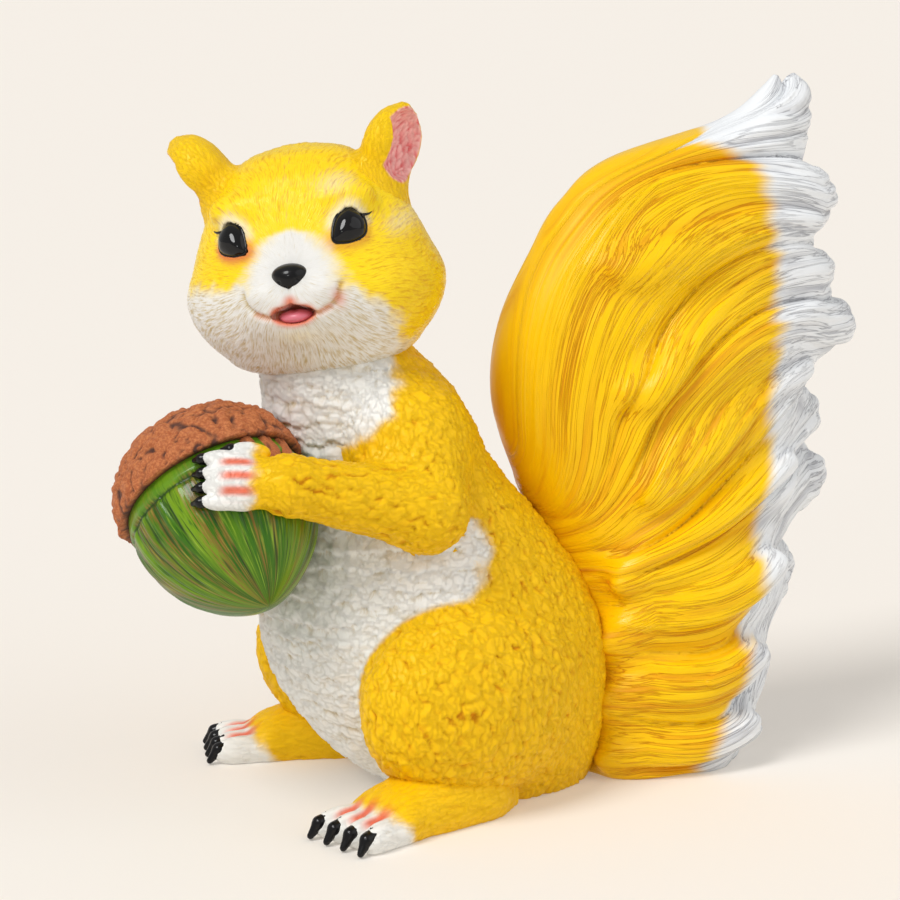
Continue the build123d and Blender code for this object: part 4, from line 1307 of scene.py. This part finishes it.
lid_curve = closed_curve(lid_points, 72)
points, quads, normals = skin(face_field, (-78, -68, -63), (78, 76, 70), head_step)
across, ahead, high = points.T
front = stepped(ahead, 15, 30)
crease_depth = line_distance(np.abs(across), high, smile_line)
smile = np.exp(-((crease_depth / 1.5) ** 2)) * front
philtrum = np.exp(-((across / 1.3) ** 2)) * stepped(high, -16, -11) * (1 - stepped(high, -5, -1)) * front
lid = np.zeros(len(points))
hollow = np.zeros(len(points))
halo = np.zeros(len(points))
eye_blush = np.zeros(len(points))
for side in sides.values():
    middle, out, upward, beside = eye_place(side)
    offset = points - middle
    near = (np.linalg.norm(offset, axis=1) < 34) & (offset @ out > 0)
    flat_out = offset[near] @ beside
    flat_up = offset[near] @ upward
    curve = np.concatenate((lid_curve, lid_curve[:1]))
    edge = line_distance(flat_out, flat_up, curve)
    bearing = np.arctan2(flat_up, flat_out)
    curve_bearing = np.arctan2(lid_curve[:, 1], lid_curve[:, 0])
    order = np.argsort(curve_bearing)
    reach = np.hypot(lid_curve[:, 0], lid_curve[:, 1])
    curve_reach = np.interp(bearing, curve_bearing[order], reach[order], period=2 * math.pi)
    inside = np.hypot(flat_out, flat_up) < curve_reach
    lid[near] += np.where(inside, 0, np.exp(-((edge / 2.4) ** 2)))
    hollow[near] += np.where(inside, stepped(edge, 0, 2.5), 0)
    over = stepped(flat_up, -6, 4)
    outside = np.where(inside, 0, edge)
    halo[near] = np.maximum(halo[near], over * np.exp(-((outside / 5.5) ** 2)))
    strength = 0.45 if side > 0 else 0.9
    eye_blush[near] = np.maximum(eye_blush[near], strength * (1 - over) * np.exp(-((outside / 4.2) ** 2)))
nose_point = np.array((0, 62.0, 2.0))
from_nose = points - nose_point
away = combed(from_nose, normals)
whirl = np.arctan2(from_nose[:, 2], from_nose[:, 0]) + 0.10 * cloud(points, 26)
reach_out = np.linalg.norm(from_nose, axis=1)
strokes = tufted(points, normals, away, 3.4, 10, 1.6, 51)[0]
bare = np.clip(lid + hollow + smile, 0, 1)
relief = (0.7 * strokes - 0.35) * (1 - bare) * (0.35 + 0.65 * stepped(reach_out, 14, 40))
relief = relief + 1.9 * lid - 4.5 * hollow - 1.8 * smile - 1.5 * philtrum
points = points + normals * relief[:, None]
# how far up the cream of the cheeks reaches, from the far side across to the near side
cheek_across = (-80, -30, -20, 0, 20, 26, 43, 60)
cheek_top = (-5, -2, 0, 2, 1, -3, -17, -38)
cheek_end = 50
fray = 4 * cloud(points, 9) + 2.5 * cloud(points, 4)
cheek = np.minimum(np.interp(across, cheek_across, cheek_top) - high, cheek_end - across) + fray
cheek = stepped(cheek, -8, 9) * stepped(ahead, -24, -8)
bridge_half = np.interp(high, (-8, 6, 16, 22, 27), (27, 23, 16, 10, -8))
bridge = stepped(bridge_half + 0.8 * fray - np.abs(across), -13, 10) * front
# airbrushed pale patches on the forehead and temple, which also paint in the highlights there
pale = 0.4 * np.exp(-(((across - 26) / 14) ** 2) - ((high - 46) / 7) ** 2) * front
pale = pale + 0.4 * np.exp(-(((across - 56) / 9) ** 2) - ((high - 20) / 9) ** 2)
snow = np.clip(np.maximum(np.maximum(cheek, bridge), np.maximum(0.6 * halo, pale)), 0, 1)
lips = 0.5 * np.exp(-((line_distance(np.abs(across), high, smile_line[:3]) / 1.8) ** 2)) * front
mouth_rim = np.abs(egg(points.T, mouth_middle, own_axes, mouth_halves))
lips = np.maximum(lips, 0.9 * np.exp(-((mouth_rim / 1.8) ** 2)) * front * (1 - stepped(high, -15, -11)))
philtrum_half = np.interp(high, (-18, -13, -7), (7, 4.5, 2))
lips = np.maximum(lips, 0.9 * np.exp(-((across / philtrum_half) ** 2)) * (1 - stepped(high, -11, -6)) * stepped(high, -20, -16) * front)
corner = np.exp(-(((across - 25) / 3) ** 2) - ((high + 13) / 5) ** 2) * front
chin_wash = 0.3 * np.exp(-((across / 16) ** 2) - ((high + 31) / 6) ** 2) * front
head_strands = 1.7
whirl_radius = 34
# painted shade: the crease mark darkens between the hair strokes, in the smile line and over the cream of the cheeks
marks = {
    "white": snow * (1 - 0.9 * chin_wash),
    "crease_shade": 0.2 * stepped(reach_out, 12, 46) - 0.16 * strokes + 0.35 * smile - 0.16 + 0.1 * cheek,
    "strand": np.stack((np.cos(whirl), reach_out / 42, head_strands * np.sin(whirl)), axis=1) * whirl_radius,
    "blush": np.clip(np.maximum(np.maximum(lips, 0.6 * corner), eye_blush), 0, 1),
    "deep": 0.1 + 0.5 * stepped(across, 42, 64) * (1 - stepped(high, 5, 30))
    + 0.3 * stepped(high, 40, 62) + 0.5 * (1 - stepped(ahead, -40, 0)),
}
lip_orange = tint(224, 112, 72)
lemon = tint(253, 220, 30)
straw = tint(218, 158, 10)
face_white = tint(232, 231, 227)
head_paint = fur_paint("head_paint", lemon, straw, face_white, sand, lip_orange, head_strands, 0.6, 1.5)
head = cast("head_fur", on_head(points), quads, marks, head_paint)
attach(head, "root")
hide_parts("head_shell")

# Ears: two small cast cups plugged into the head, hair brushed up their backs.
# They are yellow outside; the hollow is pink, with fine hair scratched across it.
ear_bearing = (43, -2, 43)
ear_length = 39
ear_half_width = 21
ear_half_thickness = {"left": 13, "right": 15}
ear_lean = {"left": math.radians(26), "right": math.radians(35)}
ear_opening = {"left": math.radians(66), "right": math.radians(80)}
# height, width and thickness, as shares of the sizes above
ear_levels = np.array((
    (-0.4, 0.80, 0.95),
    (0, 0.80, 0.95),
    (0.35, 1, 1),
    (0.65, 0.88, 0.92),
    (0.88, 0.50, 0.60),
    (1, 0.08, 0.16),
))
ear_yellow = tint(251, 208, 14)
cup_halves = (19.3, 18, 20.5)
cup_front = 13
cup_out = {"left": 0, "right": 5}
ear_step = 0.9
for name, side in sides.items():
    root = skin_point(skull_field, (0, 0, 0), (side * ear_bearing[0], ear_bearing[1], ear_bearing[2]))[0]
    ear_up = np.array((side * math.sin(ear_lean[name]), 0, math.cos(ear_lean[name])))
    ear_open = np.array((side * math.sin(ear_opening[name]), math.cos(ear_opening[name]), 0))
    ear_open = unit(ear_open - ear_up * (ear_open @ ear_up))
    ear_side = np.cross(ear_up, ear_open)
    ear_front = ear_side * np.sign(ear_side[1])
    cup_middle = root + ear_up * ear_length * 0.5 + ear_open * (ear_half_thickness[name] + cup_out[name])

    def shell_field(space):
        """Distance from this ear's outer form, open or not."""
        offset = [space[i] - root[i] for i in range(3)]
        tall = sum(offset[i] * ear_up[i] for i in range(3))
        wide = sum(offset[i] * ear_side[i] for i in range(3))
        thick = sum(offset[i] * ear_open[i] for i in range(3))
        half_width = ear_half_width * smooth_column(ear_levels, 1, tall / ear_length)
        half_thickness = ear_half_thickness[name] * smooth_column(ear_levels, 2, tall / ear_length)
        ring = np.sqrt((wide / half_width) ** 2 + (thick / half_thickness) ** 2)
        wall = (ring - 1) * np.minimum(half_width, half_thickness) * 0.9
        return np.maximum(wall, np.maximum(tall - ear_length, -tall - 0.4 * ear_length))

    def cup_field(space):
        """Distance from this ear's hollow, straight along its front edge."""
        ahead_of = sum((space[i] - cup_middle[i]) * ear_front[i] for i in range(3)) - cup_front
        return np.maximum(egg(space, cup_middle, (ear_side, ear_open, ear_up), cup_halves), ahead_of)

    def ear_field(space):
        """Distance from this ear, cupped, with a fillet where it meets the head."""
        shell = shell_field(space)
        filled = np.maximum(melt(shell, skull_field(space) + 1.5, 12), shell - 9)
        return cut(filled, cup_field(space), 2)

    points, quads, normals = skin(ear_field, root - 44, root + 58, ear_step)
    cup = cup_field(points.T)
    tall = (points - root) @ ear_up
    comb = combed(ear_up + 0.35 * np.sign(cup)[:, None] * ear_side, normals)
    strokes, strand = tufted(points, normals, comb, 3.4, 9, 1.6, 61)
    pink = 1 - stepped(cup + 0.5 * cloud(points, 3), 0.4, 1.6)
    points = points + normals * (0.6 * strokes - 0.3)[:, None]
    marks = {
        "white": 0 * pink,
        "crease_shade": 0.12 - 0.16 * strokes,
        "strand": strand,
        "blush": 0 * pink,
        "deep": 0.1 + 0.2 * (1 - stepped(tall, 0, 14)),
        "pink": pink,
    }
    ear_paint = fur_paint(name + "_ear_paint", ear_yellow, straw, white, sand, orange_red, 1.4, 0.5, 1.3)
    ear_tree = ear_paint.node_tree
    ear_shader = ear_tree.nodes["Principled BSDF"]
    outside = ear_shader.inputs["Base Color"].links[0].from_socket
    # painted shade: the pink is darker between the scratched hairs
    strokes_seen = spread(ear_tree, marked(ear_tree, "crease_shade"), -0.03, 0.11)
    inside = sprayed(ear_tree, strokes_seen, tint(255, 198, 192), tint(240, 118, 120))
    ear_colour = sprayed(ear_tree, marked(ear_tree, "pink"), outside, inside)
    ear_tree.links.new(ear_colour, ear_shader.inputs["Base Color"])
    ear = cast(name + "_ear_fur", on_head(points), quads, marks, ear_paint)
    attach(ear, "root")
    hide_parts(name + "_ear")


# Eyes: two black glass balls set into the head, each with a lid line drawn round it in black.
# A lash runs on from the outer corner of the lid.
def strip(path, radii, facing_out, closed):
    """Points and quads of a thin rod along a path, thick as its radii."""
    ahead_points = np.roll(path, -1, axis=0)
    behind_points = np.roll(path, 1, axis=0)
    if not closed:
        ahead_points[-1] = path[-1]
        behind_points[0] = path[0]
    along = unit(ahead_points - behind_points)
    beside = unit(np.cross(along, facing_out))
    over = np.cross(beside, along)
    turn = np.linspace(0, 2 * math.pi, 10, endpoint=False)
    rings = np.cos(turn)[:, None] * beside[:, None] + np.sin(turn)[:, None] * over[:, None]
    rings = path[:, None] + rings * np.asarray(radii)[:, None, None]
    if closed:
        rings = np.concatenate((rings, rings[:1]))
    return rings.reshape(-1, 3), turned(len(rings), len(turn))


def gathered(meshes):
    """Points and quads of several meshes as one."""
    counts = np.cumsum([0] + [len(mesh[0]) for mesh in meshes])
    points = np.concatenate([mesh[0] for mesh in meshes])
    return points, np.concatenate([mesh[1] + count for mesh, count in zip(meshes, counts)])


eye_glass = lacquer("eye_glass", 0.05, 0.22, 0.25)
lash = np.array(((7.9, 4.6), (10.8, 4.6), (12.8, 5.0), (14.6, 6.0)))
lash_radii = (0.9, 0.8, 0.55, 0.2)
lid_line_radius = 0.75
for name, side in sides.items():
    middle, out, upward, beside = eye_place(side)
    shares = np.concatenate((np.sin(np.linspace(0.01, math.pi / 2, 24)), (1.0, 0.01)))
    rises = eye_sink + 0.5 + (eye_radius - eye_sink - 0.5) * np.clip(1 - shares ** 2, 0, 1) ** 0.6
    rises[-2:] = 0
    dome = middle + rises[:, None, None] * out + shares[:, None, None] * (
        lid_curve[:, :1] * beside + lid_curve[:, 1:] * upward
    )
    ball_mesh = (dome.reshape(-1, 3), turned(len(shares), len(lid_curve)))
    rise = np.full(len(lid_curve), eye_sink + 1.0)
    path = middle + lid_curve[:, :1] * beside + lid_curve[:, 1:] * upward + rise[:, None] * out
    thick = lid_line_radius * (1 + 0.5 * stepped(lid_curve[:, 1], -2, 6))
    lid_mesh = strip(path, thick, out, True)
    lash_rise = np.linspace(eye_sink + 2.0, eye_sink + 0.6, len(lash))
    lash_path = middle + lash[:, :1] * beside + lash[:, 1:] * upward + lash_rise[:, None] * out
    lash_mesh = strip(lash_path, lash_radii, out, False)
    points, quads = gathered((ball_mesh, lid_mesh, lash_mesh))
    eye = cast(name + "_eye_glass", on_head(points), quads, {"strand": points}, eye_glass)
    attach(eye, "root")
    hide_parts(name + "_eye")

# Nose: a solid black button pinned between the lip pads, broad on top with two nostrils.
# It is painted with the same black lacquer as the claws.
nose_middle = (0, 60, 2.2)
nose_halves = (9.8, 8, 5.8)


def nose_field(space):
    """Distance from the nose, narrower below, with its nostrils cut in."""
    mirrored = (np.abs(space[0]), space[1], space[2])
    form = egg(space, nose_middle, own_axes, nose_halves)
    form = melt(form, egg(space, (0, 60.5, -1.6), own_axes, (6.8, 7.5, 5.2)), 4)
    return cut(form, egg(mirrored, (5.2, 67.5, -0.6), own_axes, (1.4, 1.6, 0.6)), 0.8)


points, quads, normals = skin(nose_field, (-14, 48, -12), (14, 72, 12), 0.5)
nose = cast("nose_button", on_head(points), quads, {"strand": points}, black_lacquer)
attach(nose, "root")
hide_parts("nose")

# Tongue: a small solid lobe bonded in the mouth, with a groove down its middle.
# It is a glossy pink, darker towards the throat.
tongue_middle = (0, 58.6, -20.4)
tongue_halves = (9.4, 7.5, 3.8)


def tongue_field(space):
    """Distance from the tongue."""
    form = egg(space, tongue_middle, own_axes, tongue_halves)
    return cut(form, egg(space, (0, 65, -15.6), own_axes, (1.2, 9, 1.6)), 1.5)


points, quads, normals = skin(tongue_field, (-13, 46, -28), (13, 70, -13), 0.5)
depth = stepped(points[:, 1], 56, 65)
tongue_paint = bpy.data.materials.new("tongue_paint")
tongue_paint.use_nodes = True
tongue_tree = tongue_paint.node_tree
tongue_shader = tongue_tree.nodes["Principled BSDF"]
tongue_shader.inputs["Roughness"].default_value = 0.3
tongue_grain = grain(tongue_tree, 700, 3)
tongue_colour = sprayed(tongue_tree, marked(tongue_tree, "depth"), tint(150, 56, 68), tint(212, 112, 128))
tongue_colour = sprayed(tongue_tree, spread(tongue_tree, tongue_grain, 0.5, 0.9), tongue_colour, tint(230, 150, 162))
tongue_tree.links.new(tongue_colour, tongue_shader.inputs["Base Color"])
tongue = cast("tongue_lobe", on_head(points), quads, {"depth": depth}, tongue_paint)
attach(tongue, "root")
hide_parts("tongue")
